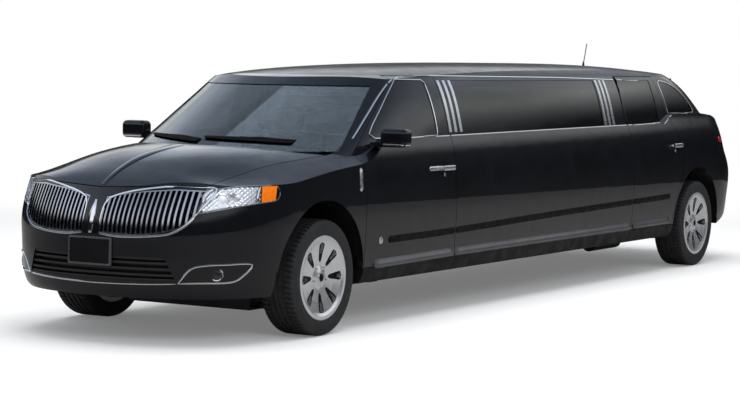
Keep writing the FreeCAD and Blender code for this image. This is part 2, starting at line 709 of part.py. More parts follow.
def greenhouse(inset, drop):
    """The glazed upper body, pulled in by inset, with its roof lowered by drop."""
    roof = Part.makeLoft([roof_section(row, drop) for row in ROOF_SHARES], True, False)
    last = station(ROOF_SHARES[-1][0] * mm.wheelbase)
    reach = half_width + mm.overrun
    behind = box((-reach, last, 0), (reach, tail_y + mm.overrun, ROOF_SHARES[-1][1] * mm.roof_height - drop))
    return greenhouse_slices(inset).common(roof.fuse(behind))


# The skins and hollows that every panel is cut from
REACH = half_width + mm.overrun


def slab(low_y, high_y, low_z=0, high_z=mm.roof_height + mm.overrun, low_x=-REACH, high_x=REACH):
    return box((low_x, low_y, low_z), (high_x, high_y, high_z))


firewall_y = station(mm.firewall_station)
firewall_back_y = firewall_y + mm.firewall_wall
lower_skin = lower_body(0, 0)
upper_skin = greenhouse(0, 0)
upper_hollow = greenhouse(mm.frame_wall, mm.roof_wall)
engine_bay = lower_body(mm.skin_wall, mm.hood_wall).common(slab(nose_y - mm.overrun, firewall_y))
boot_floor_y = station(mm.boot_floor_station)
cabin = lower_body(mm.door_wall, mm.skin_wall).common(slab(firewall_back_y, tail_y + mm.overrun))
whole_skin = lower_skin.fuse(upper_skin)
body_wall = whole_skin.cut([engine_bay, cabin, upper_hollow])


def skin_half_width(z):
    """Half width of the outer skin amidships at a height."""
    if z <= mm.belt_height:
        return looked_up([(row[0] * mm.belt_height, row[1] * half_width) for row in LOWER_SLICE_SHARES], z)
    return looked_up([(row[0] * mm.roof_height, row[1] * half_width) for row in GREENHOUSE_SLICE_SHARES], z)


# Doors. Each turns about an upright axis inside its front end. Its front and rear faces are surfaces of
# revolution about that axis, so that they pass the pillars at every angle.
door_axis_x = half_width - mm.door_axis_inset
SEAM_LEVEL_SHARES = [row[0] for row in LOWER_SLICE_SHARES]
UPPER_LEVEL_SHARES = [row[0] for row in GREENHOUSE_SLICE_SHARES[2:7]]


def seam_levels():
    lower = [share * mm.belt_height for share in SEAM_LEVEL_SHARES[:-1]]
    upper = [share * mm.roof_height for share in UPPER_LEVEL_SHARES]
    return lower + upper


def turned(radii, axis_y):
    """Solid of revolution about a door's axis from (height, radius) rows."""
    outline = [Vec(0, 0, radii[0][0])]
    outline += [Vec(radius, 0, z) for z, radius in radii]
    outline += [Vec(0, 0, radii[-1][0])]
    face = Part.Face(Part.makePolygon(outline + outline[:1]))
    solid = face.revolve(ORIGIN, Z_AXIS, 360)
    solid.translate(Vec(door_axis_x, axis_y, 0))
    return solid


def door_zone(front_station, rear_seam, outline, gap):
    """All that belongs to a door: its front and rear faces are turned, the rest is the side outline."""
    axis_y = station(front_station + mm.door_lead)
    front_radii = []
    rear_radii = []
    for z in seam_levels():
        outward = skin_half_width(z) - door_axis_x
        rear = station(looked_up(rear_seam, z)) - axis_y
        front_radii.append((z, math.hypot(mm.door_lead, outward) + gap))
        rear_radii.append((z, math.hypot(rear, outward) + gap))
    behind = slab(axis_y, tail_y, low_x=0)
    zone = turned(rear_radii, axis_y).common(behind).fuse(turned(front_radii, axis_y))
    return zone.common(outline)


def front_door_outline(gap):
    front = station(mm.front_door_station) - mm.door_wall * 2
    rear = station(mm.front_door_rear_station) + mm.door_wall * 2
    foot_y = station(mm.pillar_base_station) + mm.pillar_width - gap
    head_y = station(mm.pillar_top_station) + mm.pillar_width - gap
    slope = (head_y - foot_y) / (mm.pillar_top_height - mm.pillar_base_height)
    top = mm.door_top + gap
    outline = [
        (front, mm.door_bottom - gap),
        (rear, mm.door_bottom - gap),
        (rear, top),
        (foot_y + slope * (top - mm.pillar_base_height), top),
        (foot_y, mm.pillar_base_height),
        (foot_y, mm.door_shoulder_height + gap),
        (front, mm.door_shoulder_height + gap),
    ]
    return side_prism(outline, 0, REACH)


def rear_door_outline(gap):
    front = station(mm.rear_door_station) - mm.door_wall * 2
    rear = station(mm.rear_door_rear_station) + mm.door_wall * 2
    return slab(front, rear, mm.door_bottom - gap, mm.door_top + gap, low_x=0)


FRONT_REAR_SEAM = [(0, mm.front_door_rear_station), (mm.roof_height, mm.front_door_rear_station)]
arch_middle_z = axle_z + mm.arch_radius * HALF
arch_middle_station = mm.wheelbase - mm.arch_radius * math.sqrt(1 - HALF * HALF)
REAR_REAR_SEAM = [
    (mm.sill_top, mm.wheelbase - mm.arch_radius - mm.arch_flange),
    (arch_middle_z, arch_middle_station - mm.arch_flange),
    (axle_z + mm.arch_radius, mm.rear_door_rear_station),
    (mm.rear_handle_height, mm.rear_door_rear_station),
    (mm.belt_rear_height, mm.rear_door_belt_station),
    (mm.quarter_sill_height, between(mm.rear_door_belt_station, mm.rear_door_top_station, HALF)),
    (mm.roof_height, mm.rear_door_top_station),
]


def front_door_zone(gap):
    return door_zone(mm.front_door_station, FRONT_REAR_SEAM, front_door_outline(gap), gap)


def rear_door_zone(gap):
    return door_zone(mm.rear_door_station, REAR_REAR_SEAM, rear_door_outline(gap), gap)


# Side windows, as outlines in side view
def window_prism(outline):
    return side_prism([(station(y), z) for y, z in outline], mm.pillar_top_offset * HALF, REACH)


front_window = window_prism([
    (mm.front_window_low_station, mm.front_window_low_height),
    (mm.front_window_rear_station, mm.belt_height + mm.belt_lip),
    (mm.front_window_rear_station, mm.window_top),
    (mm.front_window_apex_station, mm.window_top),
    (mm.front_window_low_station + mm.front_window_heel, mm.front_window_low_height + mm.front_window_heel),
])
long_window = window_prism([
    (mm.long_window_station, mm.belt_height + mm.belt_lip),
    (mm.long_window_rear_station, mm.belt_rear_height),
    (mm.long_window_rear_station, mm.window_top),
    (mm.long_window_station, mm.window_top),
])
rear_window = window_prism([
    (mm.rear_window_station, mm.belt_rear_height),
    (mm.rear_window_rear_station, mm.belt_rear_height + mm.belt_lip),
    (mm.rear_window_rear_station, mm.window_top),
    (mm.rear_window_station, mm.window_top),
])


def quarter_window_shape():
    """Quarter glass: straight front and foot, and an arched upper edge down to its rear corner."""
    foot_front = Vec(0, station(mm.quarter_window_low_station), mm.quarter_sill_height + mm.belt_lip)
    foot_rear = Vec(0, station(mm.quarter_window_rear_station), mm.quarter_sill_height + mm.belt_lip)
    head_front = Vec(0, station(mm.quarter_window_top_station), mm.window_top - mm.belt_lip)
    arch = bezier(
        foot_rear,
        foot_rear + Vec(0, -mm.quarter_arch_rear, mm.quarter_arch_rise),
        head_front + Vec(0, mm.quarter_arch_front, 0),
        head_front)
    face = Part.Face(Part.Wire([line(foot_front, foot_rear), arch, line(head_front, foot_front)]))
    face.translate(X_AXIS * mm.pillar_top_offset * HALF)
    return face.extrude(X_AXIS * (REACH - mm.pillar_top_offset * HALF))


quarter_window = quarter_window_shape()

# Windscreen and tailgate glass, as outlines in front view
screen_foot = mm.pillar_base_offset + mm.pillar_splay - mm.pillar_face
screen_head = mm.pillar_top_offset - mm.pillar_face
screen_head_z = mm.pillar_top_height - mm.header_face
screen_prism = front_prism([
    (screen_foot, mm.pillar_foot_seam),
    (screen_head, screen_head_z),
    (-screen_head, screen_head_z),
    (-screen_foot, mm.pillar_foot_seam),
], nose_y, station(mm.pillar_top_station))
tail_window_prism = front_prism([
    (mm.tail_window_half_width, mm.tail_window_bottom),
    (mm.tail_window_top_half_width, mm.tail_window_top),
    (-mm.tail_window_top_half_width, mm.tail_window_top),
    (-mm.tail_window_half_width, mm.tail_window_bottom),
], rear_axle_y, tail_y + mm.overrun)


# Tailgate. Its upper edge is rounded about the hinge axis under the roof's rear edge.
tailgate_axis = Vec(0, station(mm.tailgate_axis_station), mm.tailgate_axis_height)


def tailgate_zone(gap):
    reach = mm.tailgate_half_width + gap
    behind = slab(tailgate_axis.y, tail_y + mm.overrun, mm.tailgate_bottom - gap, low_x=-reach, high_x=reach)
    nose = cylinder(mm.tailgate_nose + gap, reach * 2, tailgate_axis - X_AXIS * reach, X_AXIS)
    return behind.fuse(nose)


# Hood and cowl in plan
def hood_plan(gap, rear_shift, low_z, high_z):
    front = nose_y - mm.overrun
    lamp_y = station(mm.hood_lamp_station)
    front_x = mm.hood_front_half_width + gap
    rear_x = mm.hood_rear_half_width + gap
    rear_y = station(mm.hood_rear_corner_station) + rear_shift
    centre_y = station(mm.hood_rear_centre_station) + rear_shift
    corners = [Vec(front_x, front, low_z), Vec(front_x, lamp_y, low_z), Vec(rear_x, rear_y, low_z)]
    opposite = [Vec(-point.x, point.y, point.z) for point in corners]
    rear_edge = Part.Arc(corners[2], Vec(0, centre_y, low_z), opposite[2]).toShape()
    return plan_prism([
        line(corners[0], corners[1]), line(corners[1], corners[2]), rear_edge,
        line(opposite[2], opposite[1]), line(opposite[1], opposite[0]), line(opposite[0], corners[0]),
    ], low_z, high_z)


def bay_plan(low_z, high_z):
    """Plan of hood and cowl together, from the nose to the firewall."""
    lamp_y = station(mm.hood_lamp_station)
    front_x = mm.hood_front_half_width + mm.shut_gap
    rear_x = mm.hood_rear_half_width + mm.shut_gap
    corners = [
        Vec(front_x, nose_y - mm.overrun, low_z),
        Vec(front_x, lamp_y, low_z),
        Vec(rear_x, station(mm.hood_rear_corner_station), low_z),
        Vec(rear_x, firewall_back_y, low_z),
    ]
    opposite = [Vec(-point.x, point.y, point.z) for point in reversed(corners)]
    return polygon_prism(corners + opposite, Z_AXIS * (high_z - low_z))


def above_lip(gap):
    """Everything above the hood's front lip, the line over the grille and the lamps."""
    top = mm.roof_height
    right = [(-x, z) for x, z in reversed(LIP[1:])]
    outline = [(x, z - gap) for x, z in right + LIP] + [(REACH, top), (-REACH, top)]
    return front_prism(outline, nose_y - mm.overrun, firewall_back_y)


LIP = [
    (0, mm.lip_centre_height),
    (mm.lip_middle_offset, mm.lip_middle_height),
    (mm.lip_lamp_offset, mm.lip_lamp_height),
    (REACH, mm.lip_corner_height),
]


# Openings of the nose. The grille and the lower grille are seen from ahead, lamps from the corner.
def corner_prism(outline, ahead):
    """Extrudes an outline seen along the corner's diagonal, rows of (place along the bend, height)."""
    diagonal = math.sqrt(HALF)
    inward = Vec(-diagonal, diagonal * ahead, 0)
    along = Vec(diagonal, diagonal * ahead, 0)
    base = Vec(0, front_axle_y if ahead > 0 else rear_axle_y, 0)
    points = [base + along * place + Z_AXIS * z - inward * mm.corner_reach for place, z in outline]
    return polygon_prism(points, inward * mm.corner_depth)


# Grille wing: shares of its width, and of its height on the outer edge's rows (across, up)
GRILLE_SHARES = SimpleNamespace(sag=0.36, rise=0.58, crown=0.70, knee=0.29, knee_height=0.72)
GRILLE_EDGE_SHARES = [(0.78, 0.13), (0.87, 0.26), (0.93, 0.48)]
LAMP_EDGE_SHARES = SimpleNamespace(middle=0.23, outer=0.42)


def wing_x(share):
    return between(mm.grille_inner, mm.grille_outer, share)


grille_outline = [
    (mm.grille_inner, mm.grille_bottom),
    (wing_x(GRILLE_SHARES.sag), mm.grille_bottom - mm.grille_sag),
    (wing_x(GRILLE_SHARES.rise), mm.grille_bottom + mm.grille_sag * HALF),
    *((wing_x(across), between(mm.grille_bottom, mm.grille_top, up)) for across, up in GRILLE_EDGE_SHARES),
    (mm.grille_outer, mm.grille_top),
    (wing_x(GRILLE_SHARES.crown), mm.grille_top + mm.grille_arch),
    (wing_x(GRILLE_SHARES.knee), between(mm.grille_inner_top, mm.grille_top, GRILLE_SHARES.knee_height)),
    (mm.grille_inner, mm.grille_inner_top),
]
lower_grille_outline = [
    (mm.lower_grille_half_width, mm.lower_grille_bottom),
    (mm.lower_grille_top_half_width, mm.lower_grille_top),
    (-mm.lower_grille_top_half_width, mm.lower_grille_top),
    (-mm.lower_grille_half_width, mm.lower_grille_bottom),
]
lamp_outline = [
    (-mm.lamp_inner, mm.lamp_bottom),
    (-mm.lamp_middle, between(mm.lamp_bottom, mm.lamp_top, LAMP_EDGE_SHARES.middle)),
    (mm.lamp_outer, between(mm.lamp_bottom, mm.lamp_top, LAMP_EDGE_SHARES.outer)),
    (mm.lamp_outer + mm.lamp_rake, mm.lamp_top),
    (mm.lamp_rake, mm.lamp_top),
    (-mm.lamp_inner + mm.lamp_lean, mm.lamp_top - mm.lamp_rake),
]
fog_outline = [
    (-mm.fog_inner, mm.fog_bottom),
    (mm.fog_outer, mm.fog_bottom),
    (mm.fog_outer + mm.fog_lean, mm.fog_top),
    (-mm.fog_inner + mm.fog_lean, mm.fog_top),
]
tail_lamp_outline = [
    (-mm.tail_lamp_reach, mm.tail_lamp_bottom),
    (mm.tail_lamp_front, mm.tail_lamp_bottom + mm.tail_lamp_rake),
    (mm.tail_lamp_front + mm.tail_lamp_rake, mm.tail_lamp_top),
    (-mm.tail_lamp_reach, mm.tail_lamp_top),
]


# Sub-parts
subparts = []


def feature(label, solids):
    """Adds a sub-part whose shape is sculpted: the largest solids of what is handed in, slivers dropped."""
    solids = [solid for shape in solids for solid in shape.Solids]
    largest = max(solid.Volume for solid in solids)
    kept = [solid for solid in solids if solid.Volume > largest * SLIVER_SHARE]
    item = doc.addObject("Part::Feature", label)
    item.Label = label
    item.Shape = kept[0] if len(kept) == 1 else Part.makeCompound(kept)
    item.Placement = FreeCAD.Placement()
    subparts.append(item)
    return item


SLIVER_SHARE = 0.02
BUMPER_RISE_SHARE = 0.85
ANTENNA_LEAN_SHARE = 0.35
PARTITION_OPENING_SHARE = 0.65
WIPER_SHARES = SimpleNamespace(knee=0.35, heel=0.30)


def arch(axle_y, inner_x):
    return cylinder(mm.arch_radius, REACH - inner_x, Vec(inner_x, axle_y, axle_z), X_AXIS)


def wheelhouse(axle_y, inner_x):
    """Arched liner over a wheel with its inner wall, for the left side."""
    outer = cylinder(
        mm.arch_radius + mm.liner_wall, half_width - inner_x, Vec(inner_x, axle_y, axle_z), X_AXIS)
    hollow = cylinder(mm.arch_radius, half_width, Vec(inner_x + mm.liner_wall, axle_y, axle_z), X_AXIS)
    reach = mm.arch_radius + mm.overrun
    room = slab(axle_y - reach, axle_y + reach, mm.house_bottom, low_x=0)
    return outer.cut(hollow).common(room)


front_arch = both_sides(arch(front_axle_y, mm.front_house_inner + mm.liner_wall))
rear_arch = both_sides(arch(rear_axle_y, mm.rear_house_inner + mm.liner_wall))
side_windows_cut = both_sides(Part.makeCompound([long_window, quarter_window]))
nose_lamps = corner_prism(lamp_outline, 1)
fog_prism = corner_prism(fog_outline, 1)
tail_lamp_prism = corner_prism(tail_lamp_outline, -1)
bay_column = bay_plan(0, screen_head_z)

moving_zones = [
    both_sides(front_door_zone(mm.shut_gap)),
    both_sides(rear_door_zone(mm.shut_gap)),
    tailgate_zone(mm.shut_gap),
]
fixed_wall = body_wall.cut(moving_zones + [front_arch, rear_arch, side_windows_cut, screen_prism])
roof_outline = [
    (station(mm.screen_top_station) - mm.overrun, mm.roof_seam_height),
    (station(mm.belt_rise_station), mm.roof_seam_height),
    (tailgate_axis.y - mm.tailgate_nose, between(mm.window_top, mm.roof_seam_height, HALF)),
    (tail_y, mm.quarter_sill_height),
    (tail_y, mm.roof_height + mm.overrun),
    (station(mm.screen_top_station) - mm.overrun, mm.roof_height + mm.overrun),
]
roof_zone = side_prism(roof_outline, -REACH, REACH)
roof = fixed_wall.common(roof_zone)
feature("roof_panel", [roof])

side_wall = fixed_wall.cut(roof_zone)
frame_rear_y = station(mm.front_door_rear_station) - mm.door_wall
feature("screen_frame", [side_wall.common(slab(nose_y, frame_rear_y, mm.pillar_foot_seam))])
feature("stretch_sides", [side_wall.common(slab(frame_rear_y, station(mm.rear_door_station), mm.sill_top))])

nose_zone = side_prism([
    (nose_y - mm.overrun, 0),
    (station(mm.front_bumper_low_station), 0),
    (station(mm.front_bumper_low_station), mm.lower_grille_top),
    (station(mm.front_bumper_seam_station), mm.lip_corner_height),
    (nose_y - mm.overrun, mm.lip_corner_height),
], -REACH, REACH).cut(above_lip(0))
fender_rear_y = station(mm.front_door_station) + mm.door_wall * 2
fender_zone = slab(nose_y - mm.overrun, fender_rear_y, 0, mm.pillar_foot_seam)
fender_zone = fender_zone.cut([nose_zone, bay_column, both_sides(nose_lamps)])
sill_room = slab(station(mm.front_bumper_low_station) + mm.overrun, tail_y, 0, mm.sill_top)
fender_left = side_wall.cut(sill_room).common(fender_zone).common(slab(nose_y, tail_y, low_x=0))
front_house = wheelhouse(front_axle_y, mm.front_house_inner).common(lower_skin).cut(nose_zone)
fender_left = fender_left.fuse(front_house)
feature("fenders", [both_sides(fender_left)])

front_nose = side_wall.common(nose_zone)
grille_start_y = nose_y - mm.overrun
grille_end_y = nose_y + mm.front_overhang * HALF
grille_wing = front_prism(grille_outline, grille_start_y, grille_end_y).cut(nose_lamps)
lower_opening = front_prism(lower_grille_outline, grille_start_y, grille_end_y).cut(both_sides(fog_prism))
front_nose = front_nose.cut([
    both_sides(grille_wing), lower_opening, both_sides(nose_lamps), both_sides(fog_prism), front_arch])
feature("front_bumper", [front_nose])

# Grille: two wings of upright bars in a bright frame, in front of dark inserts
def nose_layer(opening, start, depth):
    """What fills an opening of the nose from start behind the skin to start plus depth."""
    return nose_body(start).common(opening).cut(nose_body(start + depth))


bar_pitch = (mm.grille_outer - mm.grille_inner) / mm.grille_bars
bar_boxes = []
for index in range(1, int(mm.grille_bars)):
    middle = mm.grille_inner + bar_pitch * index
    bar_boxes.append(slab(
        grille_start_y - mm.overrun, grille_start_y + mm.overrun, mm.lower_grille_top, mm.belt_height,
        low_x=middle - mm.grille_bar_width * HALF, high_x=middle + mm.grille_bar_width * HALF))
wing_rim = Part.makePolygon([Vec(x, grille_start_y, z) for x, z in grille_outline + grille_outline[:1]])
wing_gaps = Part.Face(wing_rim.makeOffset2D(-mm.grille_frame)).cut(bar_boxes)
gap_depth = Y_AXIS * (grille_end_y - grille_start_y)
wing_gaps = Part.makeCompound([face.extrude(gap_depth) for face in wing_gaps.Faces])
wing = nose_layer(grille_wing, mm.grille_inset, mm.grille_depth).cut(wing_gaps)
inset_end = mm.grille_inset + mm.grille_depth
feature("grille", [both_sides(wing)])

wing_backing = nose_layer(grille_wing, inset_end, mm.grille_backing)
lower_backing = nose_layer(lower_opening, inset_end, mm.grille_backing)
dark_layer = nose_layer(lower_opening, mm.grille_inset, mm.grille_depth)
slats = []
slat_pitch = (mm.lower_grille_top - mm.lower_grille_bottom) / mm.lower_grille_slats
for index in range(int(mm.lower_grille_slats) + 1):
    middle = min(
        max(mm.lower_grille_bottom + slat_pitch * index, mm.lower_grille_bottom + mm.slat_height * HALF),
        mm.lower_grille_top - mm.slat_height * HALF)
    slats.append(slab(
        nose_y - mm.overrun, grille_end_y, middle - mm.slat_height * HALF, middle + mm.slat_height * HALF))
slat_layer = dark_layer.common(Part.makeCompound(slats))
lower_insert = lower_backing.fuse(slat_layer.Solids)
feature("grille_inserts", [both_sides(wing_backing), lower_insert])

# Lamps
def corner_layer(opening, depth):
    """What fills an opening of a corner from the skin inwards."""
    return lower_skin.common(opening).cut(lower_slices(depth))


lamp_piece = corner_layer(nose_lamps, mm.lamp_depth)
marker_end = mm.lamp_outer + mm.lamp_inner
marker_top = mm.lamp_top + mm.overrun
marker_room = corner_prism([
    (mm.marker_inner, mm.lamp_bottom), (marker_end, mm.lamp_bottom),
    (marker_end, marker_top), (mm.marker_inner + mm.lamp_rake, marker_top),
], 1)
feature("headlamps", [both_sides(lamp_piece.cut(marker_room))])
feature("marker_lamps", [both_sides(lamp_piece.common(marker_room))])
feature("fog_lamps", [both_sides(corner_layer(fog_prism, mm.lamp_depth))])
tail_lamp = corner_layer(tail_lamp_prism, mm.lamp_depth)
feature("tail_lamps", [both_sides(tail_lamp.cut(moving_zones[2]))])

# Hood, hinged at its rear corners on ears that reach back to the axis
hood_axis = Vec(0, station(mm.hood_axis_station), mm.hood_axis_height)
ear_front_y = hood_axis.y - mm.hood_ear_length
hood_skin = body_wall.common(hood_plan(0, 0, mm.lamp_bottom, mm.pillar_top_height))
hood_skin = hood_skin.common(above_lip(-mm.shut_gap))
hood_ear = box(
    (mm.hood_ear_offset, ear_front_y, hood_axis.z - mm.hood_ear_height * HALF),
    (mm.hood_ear_offset + mm.hood_ear_wall, hood_axis.y + mm.hood_ear_height * HALF,
     hood_axis.z + mm.hood_ear_height * HALF))
ear_post = box(
    (mm.hood_ear_offset, ear_front_y, hood_axis.z),
    (mm.hood_ear_offset + mm.hood_ear_wall, ear_front_y + mm.hood_ear_height, mm.belt_height))
ear_post = ear_post.common(hood_deck(mm.hood_wall * HALF))
ear_pin = cylinder(
    mm.hood_pin_radius, mm.hood_pin_length, Vec(mm.hood_ear_offset, hood_axis.y, hood_axis.z), -X_AXIS)
hood_hinge = hood_ear.fuse([ear_post, ear_pin])
feature("hood", [hood_skin.fuse([hood_hinge, mirrored(hood_hinge)])])

# Cowl under the hood's rear edge, with the firewall and the blocks that hold the hood's pins
cowl_layer = lower_body(0, mm.cowl_drop).cut(lower_body(0, mm.cowl_drop + mm.cowl_wall))
bay_room = bay_plan(mm.floor_top, mm.belt_height)
cowl_skin = cowl_layer.common(bay_room).cut(hood_plan(0, -mm.hood_block, 0, mm.pillar_top_height))
house_clearance = both_sides(cylinder(
    mm.arch_radius + mm.liner_wall, REACH, Vec(mm.front_house_inner, front_axle_y, axle_z), X_AXIS))
firewall = lower_body(0, mm.cowl_drop + mm.cowl_wall).common(slab(firewall_y, firewall_back_y, mm.floor_top))
firewall = firewall.common(bay_room).cut(house_clearance)
block_start = mm.hood_ear_offset - mm.shut_gap - mm.hood_block
hood_block = box(
    (block_start, hood_axis.y - mm.hood_block * HALF, hood_axis.z - mm.hood_block * HALF),
    (block_start + mm.hood_block, hood_axis.y + mm.hood_block * HALF, hood_axis.z + mm.hood_block * HALF))
hood_bore = cylinder(
    mm.hood_pin_radius + mm.seat_clearance, mm.hood_block + mm.shut_gap,
    Vec(block_start, hood_axis.y, hood_axis.z), X_AXIS)
ear_room = box(
    (mm.hood_ear_offset - mm.shut_gap, ear_front_y - mm.shut_gap, hood_axis.z - mm.hood_ear_length),
    (mm.hood_ear_offset + mm.hood_ear_wall + mm.shut_gap, hood_axis.y + mm.hood_ear_height, mm.belt_height))
cowl = cowl_skin.fuse([firewall, hood_block, mirrored(hood_block)])
feature("cowl", [cowl.cut([both_sides(hood_bore), both_sides(ear_room)])])

# Floor with its sills, and the load floor over the rear axle
floor_end_y = rear_axle_y - mm.arch_radius
sill_layer = lower_slices(0).common(slab(firewall_y, floor_end_y, mm.ground_clearance, mm.sill_top))
floor_hollow = slab(
    firewall_y, tail_y, mm.floor_top, mm.roof_height,
    low_x=mm.sill_width - half_width, high_x=half_width - mm.sill_width)
riser = slab(
    boot_floor_y, boot_floor_y + mm.boot_floor_wall, mm.ground_clearance, mm.boot_floor_top,
    low_x=mm.sill_width - half_width, high_x=half_width - mm.sill_width)
load_floor = cabin.common(slab(
    boot_floor_y, tail_y, mm.boot_floor_top - mm.boot_floor_wall, mm.boot_floor_top,
    low_x=-mm.rear_house_inner, high_x=mm.rear_house_inner))
floor_pan = sill_layer.cut([floor_hollow, house_clearance]).fuse([riser, load_floor])


def jack_pad(pad_station):
    half_across, half_along = mm.jack_pad_width * HALF, mm.jack_pad_length * HALF
    return box(
        (mm.jack_pad_offset - half_across, station(pad_station) - half_along,
         mm.ground_clearance - mm.jack_pad_wall),
        (mm.jack_pad_offset + half_across, station(pad_station) + half_along,
         between(mm.ground_clearance, mm.sill_top, HALF)))


floor_pan = floor_pan.fuse([
    both_sides(jack_pad(place)) for place in (mm.jack_pad_front_station, mm.jack_pad_rear_station)])


def door_pin(front_station, radius, length):
    start = Vec(door_axis_x, station(front_station + mm.door_lead), mm.door_bottom + mm.door_pin_length)
    return cylinder(radius, length + mm.door_pin_length, start, -Z_AXIS)


pin_bores = [
    both_sides(door_pin(
        place, mm.door_pin_radius + mm.seat_clearance, mm.door_pin_length + mm.seat_clearance))
    for place in (mm.front_door_station, mm.rear_door_station)
]
feature("floor_pan", [floor_pan.cut(pin_bores)])

# Rear quarter panels with their wheelhouses, and the rear bumper
rear_bumper_zone = slab(
    station(mm.rear_bumper_seam_station), tail_y + mm.overrun, 0, mm.tailgate_bottom - mm.shut_gap)
rear_edge_y = rear_axle_y + mm.arch_radius * HALF
bumper_rise_z = between(mm.rear_bumper_arch_bottom, mm.rear_bumper_bottom, BUMPER_RISE_SHARE)
under_tail = side_prism([
    (rear_edge_y, 0),
    (rear_edge_y, mm.rear_bumper_arch_bottom),
    (rear_axle_y + mm.arch_radius, mm.rear_bumper_arch_bottom),
    (station(mm.rear_bumper_level_station), bumper_rise_z),
    (tail_y + mm.overrun, mm.rear_bumper_bottom),
    (tail_y + mm.overrun, 0),
], -REACH, REACH)
rear_wall = side_wall.common(slab(station(mm.rear_door_station) + mm.door_wall, tail_y + mm.overrun))
rear_wall = rear_wall.cut(under_tail)
rear_house = wheelhouse(rear_axle_y, mm.rear_house_inner).common(lower_skin)
quarter_zone = slab(nose_y, tail_y + mm.overrun, mm.sill_top, low_x=0)
quarter = rear_wall.common(quarter_zone).cut([rear_bumper_zone, tail_lamp_prism]).fuse(rear_house)
feature("quarter_panels", [both_sides(quarter.cut(rear_bumper_zone))])
feature("rear_bumper", [rear_wall.common(rear_bumper_zone)])

# Tailgate on its two pins
tailgate = body_wall.common(tailgate_zone(0)).cut(tail_window_prism)
tailgate_pin = cylinder(
    mm.tailgate_pin_radius, mm.tailgate_pin_length * 2,
    tailgate_axis + X_AXIS * (mm.tailgate_half_width - mm.tailgate_pin_length), X_AXIS)
tailgate_bore = cylinder(
    mm.tailgate_pin_radius + mm.seat_clearance, mm.tailgate_pin_length * 2,
    tailgate_axis + X_AXIS * (mm.tailgate_half_width - mm.tailgate_pin_length + mm.seat_clearance), X_AXIS)
feature("tailgate", [tailgate.fuse([tailgate_pin, mirrored(tailgate_pin)])])
roof_item = doc.getObject("roof_panel")
roof_item.Shape = roof_item.Shape.cut(both_sides(tailgate_bore))

# Glass, a thin layer just inside the frames' outer faces
def glass(opening):
    """The pane that fills an opening of the greenhouse."""
    back = mm.glass_inset + mm.glass_wall
    return greenhouse_slices(mm.glass_inset).common(opening).cut(greenhouse_slices(back))


tail_room = slab(tailgate_axis.y, tail_y)
screen_room = slab(nose_y, station(mm.pillar_top_station))
feature("windscreen", [glass(screen_prism.common(screen_room)).cut(lower_body(0, mm.cowl_drop))])
feature("side_windows", [both_sides(glass(long_window)), both_sides(glass(quarter_window))])
feature("tailgate_glass", [glass(tail_window_prism.common(tail_room))])
feature("door_glass_front_left", [glass(front_window)])
feature("door_glass_rear_left", [glass(rear_window)])


# Doors, with their handles, hinge pins and mirrors
def handle(rear_station, height):
    """Bar handle standing on two feet."""
    skin_x = skin_half_width(height)
    rear_y = station(rear_station - mm.handle_from_seam)
    half_height = mm.handle_height * HALF
    foot = mm.handle_height
    bar = box(
        (skin_x + mm.handle_depth * HALF, rear_y - mm.handle_length, height - half_height),
        (skin_x + mm.handle_depth, rear_y, height + half_height))
    feet = [
        box(
            (skin_x - foot, y, height - half_height),
            (skin_x + mm.handle_depth, y + foot, height + half_height))
        for y in (rear_y - mm.handle_length, rear_y - foot)
    ]
    return bar.fuse(feet).removeSplitter()


def mirror():
    """Door mirror: a rounded housing on a short arm."""
    y = station(mm.mirror_station)
    housing = box(
        (mm.mirror_inner, y - mm.mirror_depth * HALF, mm.mirror_height - mm.mirror_rise * HALF),
        (mm.mirror_inner + mm.mirror_width, y + mm.mirror_depth * HALF,
         mm.mirror_height + mm.mirror_rise * HALF))
    housing = housing.makeFillet(mm.mirror_round, housing.Edges)
    low = mm.mirror_height - mm.mirror_rise * HALF
    arm = box(
        (mm.mirror_arm_root, y - mm.mirror_arm_depth * HALF, low),
        (mm.mirror_inner + mm.mirror_width * HALF, y + mm.mirror_arm_depth * HALF,
         low + mm.mirror_arm_height))
    return housing.fuse(arm)


left_wall = body_wall.common(slab(front_axle_y, rear_axle_y, low_x=door_axis_x - half_width * HALF))
front_door = left_wall.common(front_door_zone(0)).cut(front_window).fuse([
    handle(mm.front_door_rear_station, mm.front_handle_height), mirror(),
    door_pin(mm.front_door_station, mm.door_pin_radius, mm.door_pin_length)])
rear_door = left_wall.common(rear_door_zone(0)).cut(rear_window).fuse([
    handle(mm.rear_door_rear_station, mm.rear_handle_height),
    door_pin(mm.rear_door_station, mm.door_pin_radius, mm.door_pin_length)])
feature("door_front_left", [front_door])
feature("door_rear_left", [rear_door])
for name in ("door_front", "door_rear", "door_glass_front", "door_glass_rear"):
    feature(f"{name}_right", [mirrored(doc.getObject(f"{name}_left").Shape)])

# Bright bars on the side pillars
trim_pitch = (mm.bars_depth - mm.pillar_bar_width) / (mm.pillar_bars - 1)
bars = []
for start in (mm.front_bars_station, mm.rear_bars_station):
    for index in range(int(mm.pillar_bars)):
        front = station(start + trim_pitch * index)
        bars.append(slab(
            front, front + mm.pillar_bar_width, mm.belt_rear_height, mm.window_top,
            low_x=mm.pillar_top_offset * HALF))
left_trim = greenhouse_slices(-mm.trim_wall).common(Part.makeCompound(bars)).cut(upper_skin)
feature("pillar_bars", [both_sides(left_trim)])


# Pieces built from primitives and sketches, with every size bound to the sheet
overall_cell = cell.front_overhang + cell.wheelbase + cell.rear_overhang
front_axle_cell = cell.front_overhang - overall_cell / 2
rear_axle_cell = front_axle_cell + cell.wheelbase
axle_height_cell = cell.tyre_diameter / 2
wheel_x_cell = cell.track / 2
TURNS = SimpleNamespace(
    along_x=FreeCAD.Rotation(Y_AXIS, 90),
    along_minus_x=FreeCAD.Rotation(Y_AXIS, -90),
    along_y=FreeCAD.Rotation(X_AXIS, -90),
    upright=FreeCAD.Rotation(),
)


